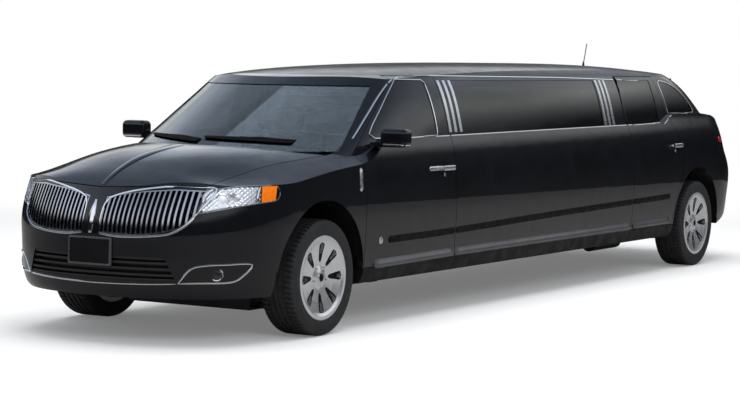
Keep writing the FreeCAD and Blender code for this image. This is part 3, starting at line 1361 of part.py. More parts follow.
def bind_place(item, place, rotation=TURNS.upright):
    item.Placement = FreeCAD.Placement(Vec(*[number(value) for value in place]), rotation)
    for axis, value in zip("xyz", place):
        item.setExpression(f"Placement.Base.{axis}", value.text)


def bound_box(name, low, size):
    item = doc.addObject("Part::Box", name)
    for key, value in zip(("Length", "Width", "Height"), size):
        item.setExpression(key, value.text)
    bind_place(item, low)
    return item


def bound_cylinder(name, radius, length, start, rotation=TURNS.upright):
    item = doc.addObject("Part::Cylinder", name)
    item.setExpression("Radius", radius.text)
    item.setExpression("Height", length.text)
    bind_place(item, start, rotation)
    return item


def fused(name, items):
    item = doc.addObject("Part::MultiFuse", name)
    item.Shapes = items
    return item


def cut_from(name, base, tool):
    item = doc.addObject("Part::Cut", name)
    item.Base = base
    item.Tool = tool
    return item


def finish(item, label):
    item.Label = label
    subparts.append(item)
    return item


def centred(width):
    """Start of something this wide that lies on the centre line."""
    return -(width / 2)


# Front subframe: crossmember, rails under the floor, and the arms that hold the uprights' pins
kingpin_x = wheel_x_cell - cell.kingpin_inset
arm_top = axle_height_cell - cell.upright_reach
frame_items = [bound_box(
    "crossmember",
    (-cell.crossmember_half_width, front_axle_cell - cell.crossmember_depth / 2,
     cell.ground_clearance - cell.crossmember_height),
    (cell.crossmember_half_width * 2, cell.crossmember_depth, cell.crossmember_height))]
for side, sign in (("left", 1), ("right", -1)):
    rail_x = cell.subframe_rail_offset * sign - cell.subframe_rail_width / 2
    frame_items.append(bound_box(
        f"subframe_rail_{side}",
        (rail_x, front_axle_cell, cell.ground_clearance - cell.subframe_rail_height),
        (cell.subframe_rail_width, cell.subframe_rail_station, cell.subframe_rail_height)))
    arm_length = kingpin_x + cell.arm_tip - cell.subframe_rail_offset
    arm_x = cell.subframe_rail_offset if sign > 0 else -(kingpin_x + cell.arm_tip)
    frame_items.append(bound_box(
        f"lower_arm_{side}",
        (arm_x, front_axle_cell - cell.arm_half_width, arm_top - cell.arm_wall),
        (arm_length, cell.arm_half_width * 2, cell.arm_wall)))
pin_holes = []
for side, sign in (("left", 1), ("right", -1)):
    pin_holes.append(bound_cylinder(
        f"lower_pin_bore_{side}", cell.kingpin_radius + cell.seat_clearance, cell.arm_wall * 2,
        (kingpin_x * sign, front_axle_cell, arm_top - cell.arm_wall - cell.arm_wall / 2)))

# Upper arms, from the wheelhouses' inner walls to the uprights
arm_bottom = axle_height_cell + cell.upright_reach
for side, sign in (("left", 1), ("right", -1)):
    wall_x = cell.front_house_inner + cell.liner_wall
    arm_x = wall_x if sign > 0 else -(kingpin_x + cell.arm_tip)
    frame_items.append(bound_box(
        f"upper_arm_{side}",
        (arm_x, front_axle_cell - cell.arm_half_width, arm_bottom),
        (kingpin_x + cell.arm_tip - wall_x, cell.arm_half_width * 2, cell.arm_wall)))
    pin_holes.append(bound_cylinder(
        f"upper_pin_bore_{side}", cell.kingpin_radius + cell.seat_clearance, cell.arm_wall * 2,
        (kingpin_x * sign, front_axle_cell, arm_bottom - cell.arm_wall / 2)))
subframe = cut_from("front_subframe", fused("subframe_body", frame_items), fused("subframe_bores", pin_holes))
finish(subframe, "front_subframe")

# Uprights that steer: a post with pins above and below and the spindle that the wheel turns on
spindle_reach = cell.rim_width / 6
for side, sign in (("left", 1), ("right", -1)):
    post_x = kingpin_x * sign - cell.upright_wall / 2
    items = [
        bound_box(
            f"post_{side}",
            (post_x, front_axle_cell - cell.upright_depth / 2,
             axle_height_cell - cell.upright_reach + cell.seat_clearance),
            (cell.upright_wall, cell.upright_depth, (cell.upright_reach - cell.seat_clearance) * 2)),
        bound_cylinder(
            f"pins_{side}", cell.kingpin_radius,
            (cell.upright_reach + cell.kingpin_length) * 2,
            (kingpin_x * sign, front_axle_cell, axle_height_cell - cell.upright_reach - cell.kingpin_length)),
        bound_cylinder(
            f"spindle_{side}", cell.hub_bore_radius - cell.seat_clearance,
            cell.kingpin_inset + spindle_reach,
            (kingpin_x * sign, front_axle_cell, axle_height_cell),
            TURNS.along_x if sign > 0 else TURNS.along_minus_x),
    ]
    finish(fused(f"knuckle_{side}", items), f"knuckle_{side}")

# Rear axle: beam between the wheels with spring posts up to the load floor
spring_top = cell.boot_floor_top - cell.boot_floor_wall
beam_half = wheel_x_cell - cell.kingpin_inset + cell.upright_wall / 2
axle_items = [
    bound_cylinder(
        "rear_beam", cell.rear_beam_radius, beam_half * 2,
        (-beam_half, rear_axle_cell, axle_height_cell), TURNS.along_x),
    bound_cylinder(
        "rear_spindles", cell.hub_bore_radius - cell.seat_clearance, (wheel_x_cell + spindle_reach) * 2,
        (-(wheel_x_cell + spindle_reach), rear_axle_cell, axle_height_cell), TURNS.along_x),
]
for side, sign in (("left", 1), ("right", -1)):
    axle_items.append(bound_cylinder(
        f"rear_spring_{side}", cell.spring_seat_radius, spring_top - axle_height_cell,
        (cell.spring_seat_offset * sign, rear_axle_cell, axle_height_cell)))
finish(fused("rear_axle", axle_items), "rear_axle")

# Exhaust: on each side a pipe with a silencer, hung from the floor
exhaust_items = []
exhaust_end = rear_axle_cell + cell.rear_overhang / 2
for side, sign in (("left", 1), ("right", -1)):
    pipe_x = cell.exhaust_offset * sign
    start_y = front_axle_cell + cell.subframe_rail_station + cell.overrun
    silencer_y = rear_axle_cell - cell.arch_radius - cell.silencer_length - cell.overrun
    hanger = cell.exhaust_radius
    exhaust_items.append(bound_cylinder(
        f"pipe_{side}", cell.exhaust_radius, exhaust_end - start_y,
        (pipe_x, start_y, cell.exhaust_height), TURNS.along_y))
    exhaust_items.append(bound_cylinder(
        f"silencer_{side}", cell.silencer_radius, cell.silencer_length,
        (pipe_x, silencer_y, cell.exhaust_height), TURNS.along_y))
    exhaust_items.append(bound_cylinder(
        f"tail_pipe_{side}", cell.tail_pipe_radius, cell.tail_pipe_length,
        (pipe_x, exhaust_end - cell.tail_pipe_length / 2, cell.exhaust_height), TURNS.along_y))
    hanger_places = (start_y + hanger, silencer_y - hanger * 2, silencer_y + cell.silencer_length)
    for index, hanger_y in enumerate(hanger_places):
        exhaust_items.append(bound_box(
            f"hanger_{side}_{index}",
            (pipe_x - hanger / 2, hanger_y, cell.exhaust_height),
            (hanger, hanger, cell.ground_clearance - cell.exhaust_height)))
    exhaust_items.append(bound_box(
        f"rear_hanger_{side}",
        (pipe_x - hanger / 2, exhaust_end - cell.tail_pipe_length, cell.exhaust_height),
        (hanger, hanger / 2, spring_top - cell.exhaust_height)))
finish(fused("exhaust", exhaust_items), "exhaust")


# Sketched pieces
def origin_plane(body, role):
    return [item for item in body.Origin.OriginFeatures if item.Role == role][0]


def sketch_outline(body, name, role, points):
    """Closed outline of straight sides in a body's origin plane; every corner is bound to the sheet."""
    sketch = body.newObject("Sketcher::SketchObject", name)
    sketch.AttachmentSupport = [(origin_plane(body, role), "")]
    sketch.MapMode = "FlatFace"
    places = [Vec(number(x), number(y), 0) for x, y in points]
    for start, end in zip(places, places[1:] + places[:1]):
        sketch.addGeometry(Part.LineSegment(start, end), False)
    count = len(points)
    for index in range(count):
        sketch.addConstraint(Sketcher.Constraint("Coincident", index, 2, (index + 1) % count, 1))
    for index, (x, y) in enumerate(points):
        for kind, value in (("DistanceX", x), ("DistanceY", y)):
            constraint = sketch.addConstraint(Sketcher.Constraint(kind, -1, 1, index, 1, number(value)))
            sketch.setExpression(f"Constraints[{constraint}]", value.text)
    return sketch


def design_body(name):
    return doc.addObject("PartDesign::Body", name)


def revolved(body, sketch):
    item = body.newObject("PartDesign::Revolution", f"{body.Name}_revolved")
    item.Profile = sketch
    item.ReferenceAxis = (sketch, ["H_Axis"])
    item.Angle = 360
    return item


def tyre(name, place, turn):
    body = design_body(name)
    half_tread = cell.tyre_width / 2 - cell.tyre_shoulder
    half_bulge = cell.tyre_width / 2
    bead = cell.tyre_bead_width / 2 - cell.seat_clearance
    seat = cell.tyre_seat_diameter / 2 + cell.seat_clearance
    over_flange = cell.rim_flange_diameter / 2 + cell.seat_clearance
    top = cell.tyre_diameter / 2
    edge = top - cell.tyre_shoulder
    bulge_height = (seat + top) / 2
    knee = cell.tyre_shoulder / 2
    sketch = sketch_outline(body, f"{name}_section", "XZ_Plane", [
        (-bead, seat), (bead, seat), (bead, over_flange), (half_bulge - knee, over_flange),
        (half_bulge, bulge_height), (half_bulge - knee / 2, edge), (half_tread, top - knee / 2),
        (half_tread / 2, top), (-(half_tread / 2), top), (-half_tread, top - knee / 2),
        (-(half_bulge - knee / 2), edge), (-half_bulge, bulge_height),
        (-(half_bulge - knee), over_flange), (-bead, over_flange),
    ])
    revolved(body, sketch)
    bind_place(body, place, turn)
    return finish(body, name)


# Places across the wheel face as shares of half the rim's width, and the slots' outer end in walls of the rim
RIM_SHARES = SimpleNamespace(
    back=0.62, back_edge=0.70, well=0.58, lip=0.93, dish=0.82, hub=0.74, cap=0.84, middle=0.86, slot_end=1.6)


def rim(name, place, turn):
    """Barrel, dished face with slots between its spokes, hub and brake disc, turned about the axle."""
    body = design_body(name)
    half_rim = cell.rim_width / 2
    flange = cell.rim_flange_diameter / 2
    seat = cell.tyre_seat_diameter / 2
    inner = seat - cell.rim_wall
    half_bead = cell.tyre_bead_width / 2
    disc_front = -(spindle_reach - cell.brake_disc_wall)
    sketch = sketch_outline(body, f"{name}_section", "XZ_Plane", [
        (spindle_reach + cell.seat_clearance, ZERO),
        (spindle_reach + cell.seat_clearance, cell.hub_bore_radius),
        (-spindle_reach, cell.hub_bore_radius),
        (-spindle_reach, cell.brake_disc_radius),
        (disc_front, cell.brake_disc_radius),
        (disc_front, cell.hub_radius),
        (spindle_reach, cell.hub_radius + cell.rim_wall),
        (half_rim * RIM_SHARES.back, (cell.hub_radius + inner) / 2),
        (half_rim * RIM_SHARES.back_edge, inner - cell.rim_wall),
        (half_rim * RIM_SHARES.well, inner),
        (-half_rim, inner),
        (-half_rim, flange),
        (-half_bead, flange),
        (-half_bead, seat),
        (half_bead, seat),
        (half_bead, flange),
        (half_rim, flange),
        (half_rim, inner + cell.rim_wall / 2),
        (half_rim * RIM_SHARES.lip, inner - cell.rim_wall),
        (half_rim * RIM_SHARES.dish, (cell.hub_radius + inner) / 2),
        (half_rim * RIM_SHARES.hub, cell.hub_radius),
        (half_rim * RIM_SHARES.cap, cell.hub_cap_radius),
        (half_rim * RIM_SHARES.middle, ZERO),
    ])
    revolved(body, sketch)
    slot_top = inner - cell.rim_wall * RIM_SHARES.slot_end
    slot_root = slot_top - cell.spoke_slot_length
    slot = sketch_outline(body, f"{name}_slot", "YZ_Plane", [
        (-(cell.spoke_slot_root_width / 2), slot_root), (cell.spoke_slot_root_width / 2, slot_root),
        (cell.spoke_slot_width / 2, slot_top), (-(cell.spoke_slot_width / 2), slot_top),
    ])
    doc.recompute()
    before = body.Shape.Volume
    pocket = body.newObject("PartDesign::Pocket", f"{name}_slot_pocket")
    pocket.Profile = slot
    pocket.setExpression("Length", half_rim.text)
    pocket.Reversed = True
    doc.recompute()
    if not body.Shape.Volume < before:
        raise ValueError(f"{name}: the slot cuts nothing")
    pattern = body.newObject("PartDesign::PolarPattern", f"{name}_slots")
    pattern.Originals = [pocket]
    pattern.Axis = (sketch, ["H_Axis"])
    pattern.Angle = 360
    pattern.setExpression("Occurrences", "sizes.spoke_slots")
    body.Tip = pattern
    bind_place(body, place, turn)
    return finish(body, name)


FACING_RIGHT = FreeCAD.Rotation(Z_AXIS, 180)
for end, axle_cell in (("front", front_axle_cell), ("rear", rear_axle_cell)):
    for side, sign, turn in (("left", 1, TURNS.upright), ("right", -1, FACING_RIGHT)):
        place = (wheel_x_cell * sign, axle_cell, axle_height_cell)
        tyre(f"tyre_{end}_{side}", place, turn)
        rim(f"rim_{end}_{side}", place, turn)


def padded_block(name, role, points, length_cell, place):
    """Outline pulled along the car's width about the place's x."""
    body = design_body(name)
    sketch = sketch_outline(body, f"{name}_section", role, points)
    pad = body.newObject("PartDesign::Pad", f"{name}_pad")
    pad.Profile = sketch
    pad.setExpression("Length", length_cell.text)
    pad.Midplane = True
    bind_place(body, place)
    return body


def in_shares(rows, across, up):
    """Outline whose corners are shares of a width and a height."""
    return [(across * x, up * y) for x, y in rows]


# Engine and gearbox as one block on the crossmember, narrower at its top
ENGINE_SHARES = [(-0.7, 0), (0.7, 0), (1, 0.2), (1, 0.7), (0.6, 1), (-0.6, 1), (-1, 0.7), (-1, 0.2)]
finish(padded_block(
    "engine_block", "XZ_Plane", in_shares(ENGINE_SHARES, cell.engine_width / 2, cell.engine_height),
    cell.engine_length, (ZERO, front_axle_cell + cell.engine_station, cell.ground_clearance)), "engine_block")

# Fuel tank under the floor
TANK_SHARES = [(0, -0.6), (0.15, -1), (0.9, -1), (1, -0.6), (1, 0), (0, 0)]
finish(padded_block(
    "fuel_tank", "YZ_Plane", in_shares(TANK_SHARES, cell.tank_length, cell.tank_height),
    cell.tank_width, (ZERO, front_axle_cell + cell.tank_station, cell.ground_clearance)), "fuel_tank")

# Steering wheel on its column. Its own Z axis is the column's, leaning back towards the driver.
steering_place = (cell.seat_offset, front_axle_cell + cell.steering_station, cell.steering_height)
LEAN = FreeCAD.Rotation(-X_AXIS, mm.steering_rake)


def lean_with_column(item):
    item.Placement = FreeCAD.Placement(item.Placement.Base, LEAN)
    item.setExpression("Placement.Rotation.Angle", cell.steering_rake.text)


steering_rim = doc.addObject("Part::Torus", "steering_rim")
steering_rim.setExpression("Radius1", cell.steering_wheel_radius.text)
steering_rim.setExpression("Radius2", cell.steering_rim_radius.text)
spoke_wall = cell.steering_rim_radius
hub_back = -(cell.steering_hub_depth / 2)
steering_items = [
    steering_rim,
    bound_cylinder("steering_hub", cell.steering_hub_radius, cell.steering_hub_depth, (ZERO, ZERO, hub_back)),
    bound_box(
        "steering_spokes", (-cell.steering_wheel_radius, -spoke_wall, -(spoke_wall / 2)),
        (cell.steering_wheel_radius * 2, spoke_wall * 2, spoke_wall)),
    bound_box(
        "steering_lower_spoke", (-spoke_wall, -cell.steering_wheel_radius, -(spoke_wall / 2)),
        (spoke_wall * 2, cell.steering_wheel_radius, spoke_wall)),
    bound_cylinder(
        "steering_shaft", cell.steering_shaft_radius, cell.steering_shaft_length,
        (ZERO, ZERO, -cell.steering_shaft_length)),
]
steering_wheel = fused("steering_wheel", steering_items)
bind_place(steering_wheel, steering_place)
lean_with_column(steering_wheel)
finish(steering_wheel, "steering_wheel")

# Dashboard behind the firewall, with the column's bore
dash_depth = cell.dash_station - cell.firewall_station - cell.firewall_wall
dash_rise = cell.dash_top - cell.dash_bottom
DASH_SHARES = [
    (0, 0.10), (0.70, 0), (0.90, 0.12), (1, 0.45), (1, 0.62), (0.86, 0.92), (0.55, 1), (0, 0.95),
]
dash_panel = padded_block(
    "dash_panel", "YZ_Plane", in_shares(DASH_SHARES, dash_depth, dash_rise), cell.dash_half_width * 2,
    (ZERO, front_axle_cell + cell.firewall_station + cell.firewall_wall, cell.dash_bottom))
column_bore = fused("column_bore", [
    bound_cylinder(
        "column_hole", cell.steering_shaft_radius + cell.seat_clearance, cell.steering_shaft_length,
        (ZERO, ZERO, -(cell.steering_shaft_length + cell.seat_clearance))),
    bound_cylinder(
        "column_relief", cell.steering_shaft_radius + cell.seat_clearance, cell.steering_shaft_length,
        (ZERO, ZERO, -(cell.steering_shaft_length / 2))),
])
bind_place(column_bore, steering_place)
lean_with_column(column_bore)
finish(cut_from("dashboard", dash_panel, column_bore), "dashboard")


# Seats: an outline from the front edge back, with the cushion's top at its own height
SEAT_SHARES = SimpleNamespace(
    foot=0.08, front=0.62, nose=0.02, dip=0.90, lean=0.80, shoulder=0.96, crown=0.60, nape=0.90,
    small_of_back=0.50, heel=0.92, head_depth=0.7, head_foot=0.95)


def seat_points(depth, height, back_height, back_wall, rake):
    share = SEAT_SHARES
    return [
        (depth * share.foot, ZERO), (ZERO, height * share.front), (depth * share.nose, height),
        (depth - back_wall, height * share.dip),
        (depth - back_wall + rake * share.lean, height + back_height * share.shoulder),
        (depth - back_wall * share.crown + rake, height + back_height),
        (depth + rake, height + back_height * share.nape), (depth, height * share.small_of_back),
        (depth * share.heel, ZERO),
    ]


front_seats = []
for side, sign in (("left", 1), ("right", -1)):
    seat = padded_block(f"seat_{side}", "YZ_Plane", seat_points(
        cell.seat_length, cell.seat_height, cell.seat_back_height, cell.seat_back_wall, cell.seat_back_rake,
    ), cell.seat_width, (cell.seat_offset * sign, front_axle_cell + cell.seat_station, cell.floor_top))
    head_depth = cell.seat_back_wall * SEAT_SHARES.head_depth
    head_rest = bound_box(
        f"head_rest_{side}",
        (cell.seat_offset * sign - cell.seat_width / 4,
         front_axle_cell + cell.seat_station + cell.seat_length + cell.seat_back_rake - cell.seat_back_wall,
         cell.floor_top + cell.seat_height + cell.seat_back_height * SEAT_SHARES.head_foot),
        (cell.seat_width / 2, head_depth, cell.head_rest_height))
    front_seats.append(fused(f"front_seat_{side}", [seat, head_rest]))
seat_pair = doc.addObject("Part::Compound", "front_seats")
seat_pair.Links = front_seats
finish(seat_pair, "front_seats")

side_bench_length = cell.bench_rear_station - cell.bench_station
bench_points = seat_points(
    cell.bench_depth, cell.seat_height, cell.bench_back_height, cell.seat_back_wall, ZERO)
side_bench = padded_block(
    "side_bench", "XZ_Plane", [(cell.bench_depth - cell.bench_offset - u, v) for u, v in bench_points],
    side_bench_length, (ZERO, front_axle_cell + cell.bench_station + side_bench_length / 2, cell.floor_top))
rear_bench = padded_block(
    "rear_bench", "YZ_Plane", bench_points,
    cell.rear_bench_half_width * 2, (ZERO, front_axle_cell + cell.rear_bench_station, cell.floor_top))
benches = doc.addObject("Part::Compound", "lounge_seats")
benches.Links = [side_bench, rear_bench]
finish(benches, "lounge_seats")

# Partition behind the driver, with its window
partition_size = (cell.partition_half_width * 2, cell.partition_wall, cell.partition_top - cell.floor_top)
partition_y = front_axle_cell + cell.partition_station
partition_plate = bound_box(
    "partition_plate", (-cell.partition_half_width, partition_y, cell.floor_top), partition_size)
opening_width = cell.partition_half_width * 2 * PARTITION_OPENING_SHARE
partition_opening = bound_box(
    "partition_opening",
    (centred(opening_width), partition_y - cell.partition_wall, cell.belt_height - cell.partition_window_drop),
    (opening_width, cell.partition_wall * 3, cell.partition_window_height))
finish(cut_from("partition", partition_plate, partition_opening), "partition")


# Wipers lying along the windscreen's foot, and the antenna on the roof
glass_face = greenhouse_slices(mm.glass_inset)
raised_face = glass_face.translated(Y_AXIS * -mm.wiper_wall * LEAN_SHARES.screen)


def wiper(outer_x):
    """Blade with its arm, from the arm's foot on the cowl towards the car's right side."""
    inner_x = outer_x - mm.wiper_length
    blade_z = mm.wiper_height + mm.wiper_slope
    outline = [
        (outer_x, mm.wiper_height - mm.wiper_width), (outer_x, mm.wiper_height),
        (between(outer_x, inner_x, WIPER_SHARES.knee),
         between(mm.wiper_height, blade_z, WIPER_SHARES.knee) + mm.wiper_width * HALF),
        (inner_x, blade_z), (inner_x, blade_z - mm.wiper_width * HALF),
        (between(outer_x, inner_x, WIPER_SHARES.heel), mm.wiper_height - mm.wiper_width * HALF),
    ]
    prism_start = station(mm.screen_base_station) - mm.front_overhang * HALF
    blade_room = front_prism(outline, prism_start, station(mm.pillar_base_station))
    return raised_face.common(blade_room).cut(glass_face)


feature("wipers", [wiper(mm.wiper_left_offset), wiper(mm.wiper_right_offset)])
antenna_base = Vec(0, station(mm.antenna_station), mm.roof_height - mm.roof_crown)
antenna_foot = Part.makeCone(
    mm.antenna_foot_radius, mm.antenna_foot_radius * HALF, mm.roof_crown + mm.antenna_foot_height, antenna_base)
antenna_rod = cylinder(
    mm.antenna_radius, mm.antenna_length, antenna_base + Z_AXIS * mm.roof_crown, Vec(0, ANTENNA_LEAN_SHARE, 1))
feature("antenna", [antenna_foot.fuse(antenna_rod).cut(upper_skin)])

# Check every object and every shape, then write the pieces
doc.recompute()
for item in doc.Objects:
    if "Invalid" in item.State or "Error" in item.State:
        raise ValueError(f"{item.Label} is {item.State}")
for item in subparts:
    if item.Shape.isNull() or not item.Shape.isValid():
        raise ValueError(f"{item.Label} has no valid shape")
os.makedirs("parts", exist_ok=True)
for item in subparts:
    item.Shape.exportStep(f"parts/{item.Label}.step")
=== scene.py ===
"""Looks of the stretch limousine: paint, glass, bright trim, lamps, tyres and upholstery."""

import json
import math

import bmesh
import bpy
from mathutils import Matrix, Vector, noise
from mathutils.bvhtree import BVHTree

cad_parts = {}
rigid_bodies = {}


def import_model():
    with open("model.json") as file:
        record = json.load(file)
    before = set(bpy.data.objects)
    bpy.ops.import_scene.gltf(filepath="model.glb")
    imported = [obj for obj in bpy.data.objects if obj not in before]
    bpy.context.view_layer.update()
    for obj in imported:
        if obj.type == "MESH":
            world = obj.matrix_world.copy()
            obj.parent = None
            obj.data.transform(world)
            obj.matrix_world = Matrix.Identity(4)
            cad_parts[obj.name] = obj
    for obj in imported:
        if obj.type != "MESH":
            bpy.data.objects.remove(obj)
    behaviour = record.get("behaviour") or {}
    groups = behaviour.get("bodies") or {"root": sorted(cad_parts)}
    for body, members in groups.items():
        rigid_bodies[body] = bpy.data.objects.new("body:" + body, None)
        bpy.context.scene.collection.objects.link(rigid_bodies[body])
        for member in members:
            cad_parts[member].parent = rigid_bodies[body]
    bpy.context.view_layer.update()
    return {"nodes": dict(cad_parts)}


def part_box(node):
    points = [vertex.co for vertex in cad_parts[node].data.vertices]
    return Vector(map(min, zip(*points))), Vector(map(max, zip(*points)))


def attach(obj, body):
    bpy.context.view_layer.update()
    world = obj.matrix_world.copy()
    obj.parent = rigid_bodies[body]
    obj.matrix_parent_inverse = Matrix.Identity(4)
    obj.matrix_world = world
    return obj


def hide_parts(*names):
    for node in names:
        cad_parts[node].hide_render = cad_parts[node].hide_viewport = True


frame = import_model()
nodes = frame["nodes"]

MM = 0.001
FULL_TURN = 2 * math.pi
SIDE_OF = {"left": 1, "right": -1}


def angles(count):
    """Even steps of a full turn."""
    return [FULL_TURN * step / count for step in range(count)]


def centre_of(node):
    low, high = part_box(node)
    return (low + high) / 2


FRONT_AXLE = centre_of("rim_front_left")
REAR_AXLE = centre_of("rim_rear_left")
ARCH_RADIUS = 0.503
SKIN_EDGE = 0.93


def at(x, distance, z):
    """Point from millimetres: across, behind the front axle, and up."""
    return Vector((x * MM, FRONT_AXLE.y + distance * MM, z * MM))


# Materials
class Graph:
    """Node tree with short ways to add, fill and link nodes."""

    def __init__(self, tree):
        self.tree = tree

    def link(self, source, target):
        self.tree.links.new(source, target)

    def fill(self, node, inputs):
        """Sets or links a node's inputs: pairs of a name or number and a constant or socket."""
        for key, value in inputs:
            if isinstance(value, bpy.types.NodeSocket):
                self.link(value, node.inputs[key])
            else:
                node.inputs[key].default_value = value
        return node

    def new(self, kind, inputs=(), operation=None):
        node = self.tree.nodes.new(f"ShaderNode{kind}")
        if operation:
            node.operation = operation
        return self.fill(node, inputs)

    def math(self, operation, *values):
        return self.new("Math", enumerate(values), operation).outputs["Value"]

    def spread(self, source, low, high, start=0.3, end=0.7):
        limits = (("From Min", start), ("From Max", end), ("To Min", low), ("To Max", high), ("Value", source))
        return self.new("MapRange", limits).outputs["Result"]


class Finish(Graph):
    """A Principled material with procedural variation of its colour, roughness and surface."""

    def __init__(self, name, colour, roughness, metallic=0.0, specular=0.5):
        self.material = bpy.data.materials.new(name)
        self.material.use_nodes = True
        super().__init__(self.material.node_tree)
        self.shader = self.tree.nodes["Principled BSDF"]
        self.fill(self.shader, (("Metallic", metallic), ("Specular IOR Level", specular)))
        self.place = self.new("TexCoord").outputs["Object"]
        self.colour = colour
        self.roughness = roughness

    def noise(self, scale, detail=3.0, stretch=None):
        place = self.place
        if stretch:
            place = self.new("Mapping", (("Scale", stretch), ("Vector", place))).outputs["Vector"]
        return self.new("TexNoise", (("Scale", scale), ("Detail", detail), ("Vector", place))).outputs["Fac"]

    def mixed(self, factor, first, second):
        """Colour between two, each a constant or a socket."""
        node = self.new("Mix")
        node.data_type = "RGBA"
        first, second = [(*value, 1) if isinstance(value, tuple) else value for value in (first, second)]
        self.fill(node, ((0, factor), (6, first), (7, second)))
        return node.outputs[2]

    def varied(self, scale=4.0, swing=0.12, rough_swing=0.25):
        """Colour and roughness drift slowly over the surface."""
        low, high = [tuple(value * share for value in self.colour) for share in (1 - swing, 1 + swing)]
        self.colour_out = self.mixed(self.spread(self.noise(scale), 0, 1), low, high)
        rough_low, rough_high = [self.roughness * share for share in (1 - rough_swing, 1 + rough_swing)]
        rough = self.spread(self.noise(scale * 3.7, 5.0), rough_low, rough_high)
        self.fill(self.shader, (("Base Color", self.colour_out), ("Roughness", rough)))
        return self

    def raised_by(self, height, distance, strength):
        bump = self.new("Bump", (("Strength", strength), ("Distance", distance), ("Height", height)))
        self.link(bump.outputs["Normal"], self.shader.inputs["Normal"])
        return self

    def bumped(self, scale, distance, strength=1.0, stretch=None):
        return self.raised_by(self.noise(scale, 2.0, stretch), distance, strength)

    def coated(self, weight=1.0, roughness=0.03, ior=1.5):
        self.fill(self.shader, (("Coat Weight", weight), ("Coat Roughness", roughness), ("Coat IOR", ior)))
        return self

    def clear(self, ior=1.5, weight=1.0):
        self.fill(self.shader, (("Transmission Weight", weight), ("IOR", ior)))
        return self

    def inside_arches(self):
        """1 inside the wheelhouses: near an axle, seen from the side, and inside the skin."""
        x, y, z = self.new("SeparateXYZ", (("Vector", self.place),)).outputs
        near = []
        for axle in (FRONT_AXLE, REAR_AXLE):
            dy = self.math("SUBTRACT", y, axle.y)
            dz = self.math("SUBTRACT", z, axle.z)
            squared = self.math("ADD", self.math("MULTIPLY", dy, dy), self.math("MULTIPLY", dz, dz))
            near.append(self.math("LESS_THAN", squared, ARCH_RADIUS * ARCH_RADIUS))
        inside = self.math("LESS_THAN", self.math("ABSOLUTE", x), SKIN_EDGE)
        return self.math("MULTIPLY", self.math("MAXIMUM", *near), inside)


def body_paint(name="body_paint", gloss=1.0):
    """Black paint under a clear coat; matt black plastic inside the wheelhouses."""
    finish = Finish(name, (0.0035, 0.004, 0.0062), 0.35, specular=0.10)
    finish.varied(scale=2.0, swing=0.2, rough_swing=0.2).bumped(700, 0.00001, 0.5).coated(1.0, 0.02, 1.40)
    liner = finish.inside_arches()
    colour = finish.mixed(liner, finish.colour_out, (0.006, 0.006, 0.006))
    coat = finish.spread(liner, gloss, 0.0, 0.0, 1.0)
    finish.fill(finish.shader, (("Base Color", colour), ("Coat Weight", coat)))
    return finish


def leather():
    """Dark leather with a fine grain."""
    finish = Finish("seat_leather", (0.016, 0.015, 0.015), 0.42).varied(5.0, 0.25)
    cells = finish.new("TexVoronoi", (("Scale", 420), ("Vector", finish.place)))
    return finish.raised_by(cells.outputs["Distance"], 0.0005, 0.35)


PAINT = body_paint()
ROOF_PAINT = body_paint("roof_paint", 0.45)
# Satin coat of the step along the sills, coloured lighter than the black body paint: a painted highlight of
# the light from above
LEDGE_HIGHLIGHT_PAINT = Finish("ledge_paint", (0.055, 0.057, 0.061), 0.4, specular=0.3)
LEDGE_HIGHLIGHT_PAINT.varied(3.0, 0.15, 0.2).bumped(700, 0.00001, 0.5).coated(0.6, 0.08, 1.40)
PLASTIC = Finish("black_plastic", (0.012, 0.012, 0.013), 0.45).varied(6.0, 0.2).bumped(900, 0.0001, 0.6)
GUARD = Finish("guard_plastic", (0.005, 0.005, 0.0055), 0.6, specular=0.12)
GUARD.varied(6.0, 0.2).bumped(900, 0.00003, 0.4)
DASH = Finish("dash_black", (0.004, 0.004, 0.0045), 0.75, specular=0.08)
DASH.varied(6.0, 0.2).bumped(600, 0.0001, 0.5)
SATIN = Finish("satin_black", (0.006, 0.006, 0.0065), 0.5, specular=0.2)
SATIN.varied(3.0, 0.2).bumped(500, 0.00006, 0.5)
CHROME = Finish("bright_trim", (0.80, 0.81, 0.83), 0.07, 1.0).varied(9.0, 0.04, 0.3).bumped(250, 0.00002, 0.4)
SATIN_CHROME = Finish("satin_chrome", (0.74, 0.75, 0.77), 0.30, 1.0)
SATIN_CHROME.varied(9.0, 0.05, 0.2).bumped(250, 0.00003, 0.4)
TRAY = Finish("lamp_tray", (0.46, 0.49, 0.54), 0.22, 0.9).varied(40.0, 0.12, 0.3).bumped(200, 0.0002, 0.4)
DARK_CHROME = Finish("dark_chrome", (0.36, 0.37, 0.40), 0.10, 1.0)
DARK_CHROME.varied(9.0, 0.06, 0.3).bumped(250, 0.00002, 0.4)
GRILLE_CHROME = Finish("grille_chrome", (0.42, 0.43, 0.47), 0.20, 1.0)
GRILLE_CHROME.varied(9.0, 0.06, 0.3).bumped(250, 0.00002, 0.4)
MIRROR = Finish("mirror_silver", (0.88, 0.89, 0.90), 0.02, 1.0).varied(3.0, 0.02, 0.3)
PLATE_FRAME = Finish("plate_frame", (0.09, 0.092, 0.10), 0.3, 0.5)
PLATE_FRAME.varied(20.0, 0.1, 0.3).bumped(300, 0.00005, 0.4)
ALLOY = Finish("wheel_alloy", (0.70, 0.71, 0.73), 0.20, 0.75)
ALLOY.varied(14.0, 0.03, 0.12).bumped(300, 0.00001, 0.2).coated(0.3, 0.05)
PRIVACY = Finish("dark_glass", (0.030, 0.033, 0.037), 0.015).varied(1.5, 0.1, 0.3).clear(1.5, 0.92)
SCREEN = Finish("windscreen_glass", (0.34, 0.42, 0.50), 0.01).varied(1.2, 0.03, 0.3).clear()
DOOR_GLASS = Finish("tinted_glass", (0.05, 0.055, 0.062), 0.012).varied(1.5, 0.08, 0.3).clear(1.5, 0.95)
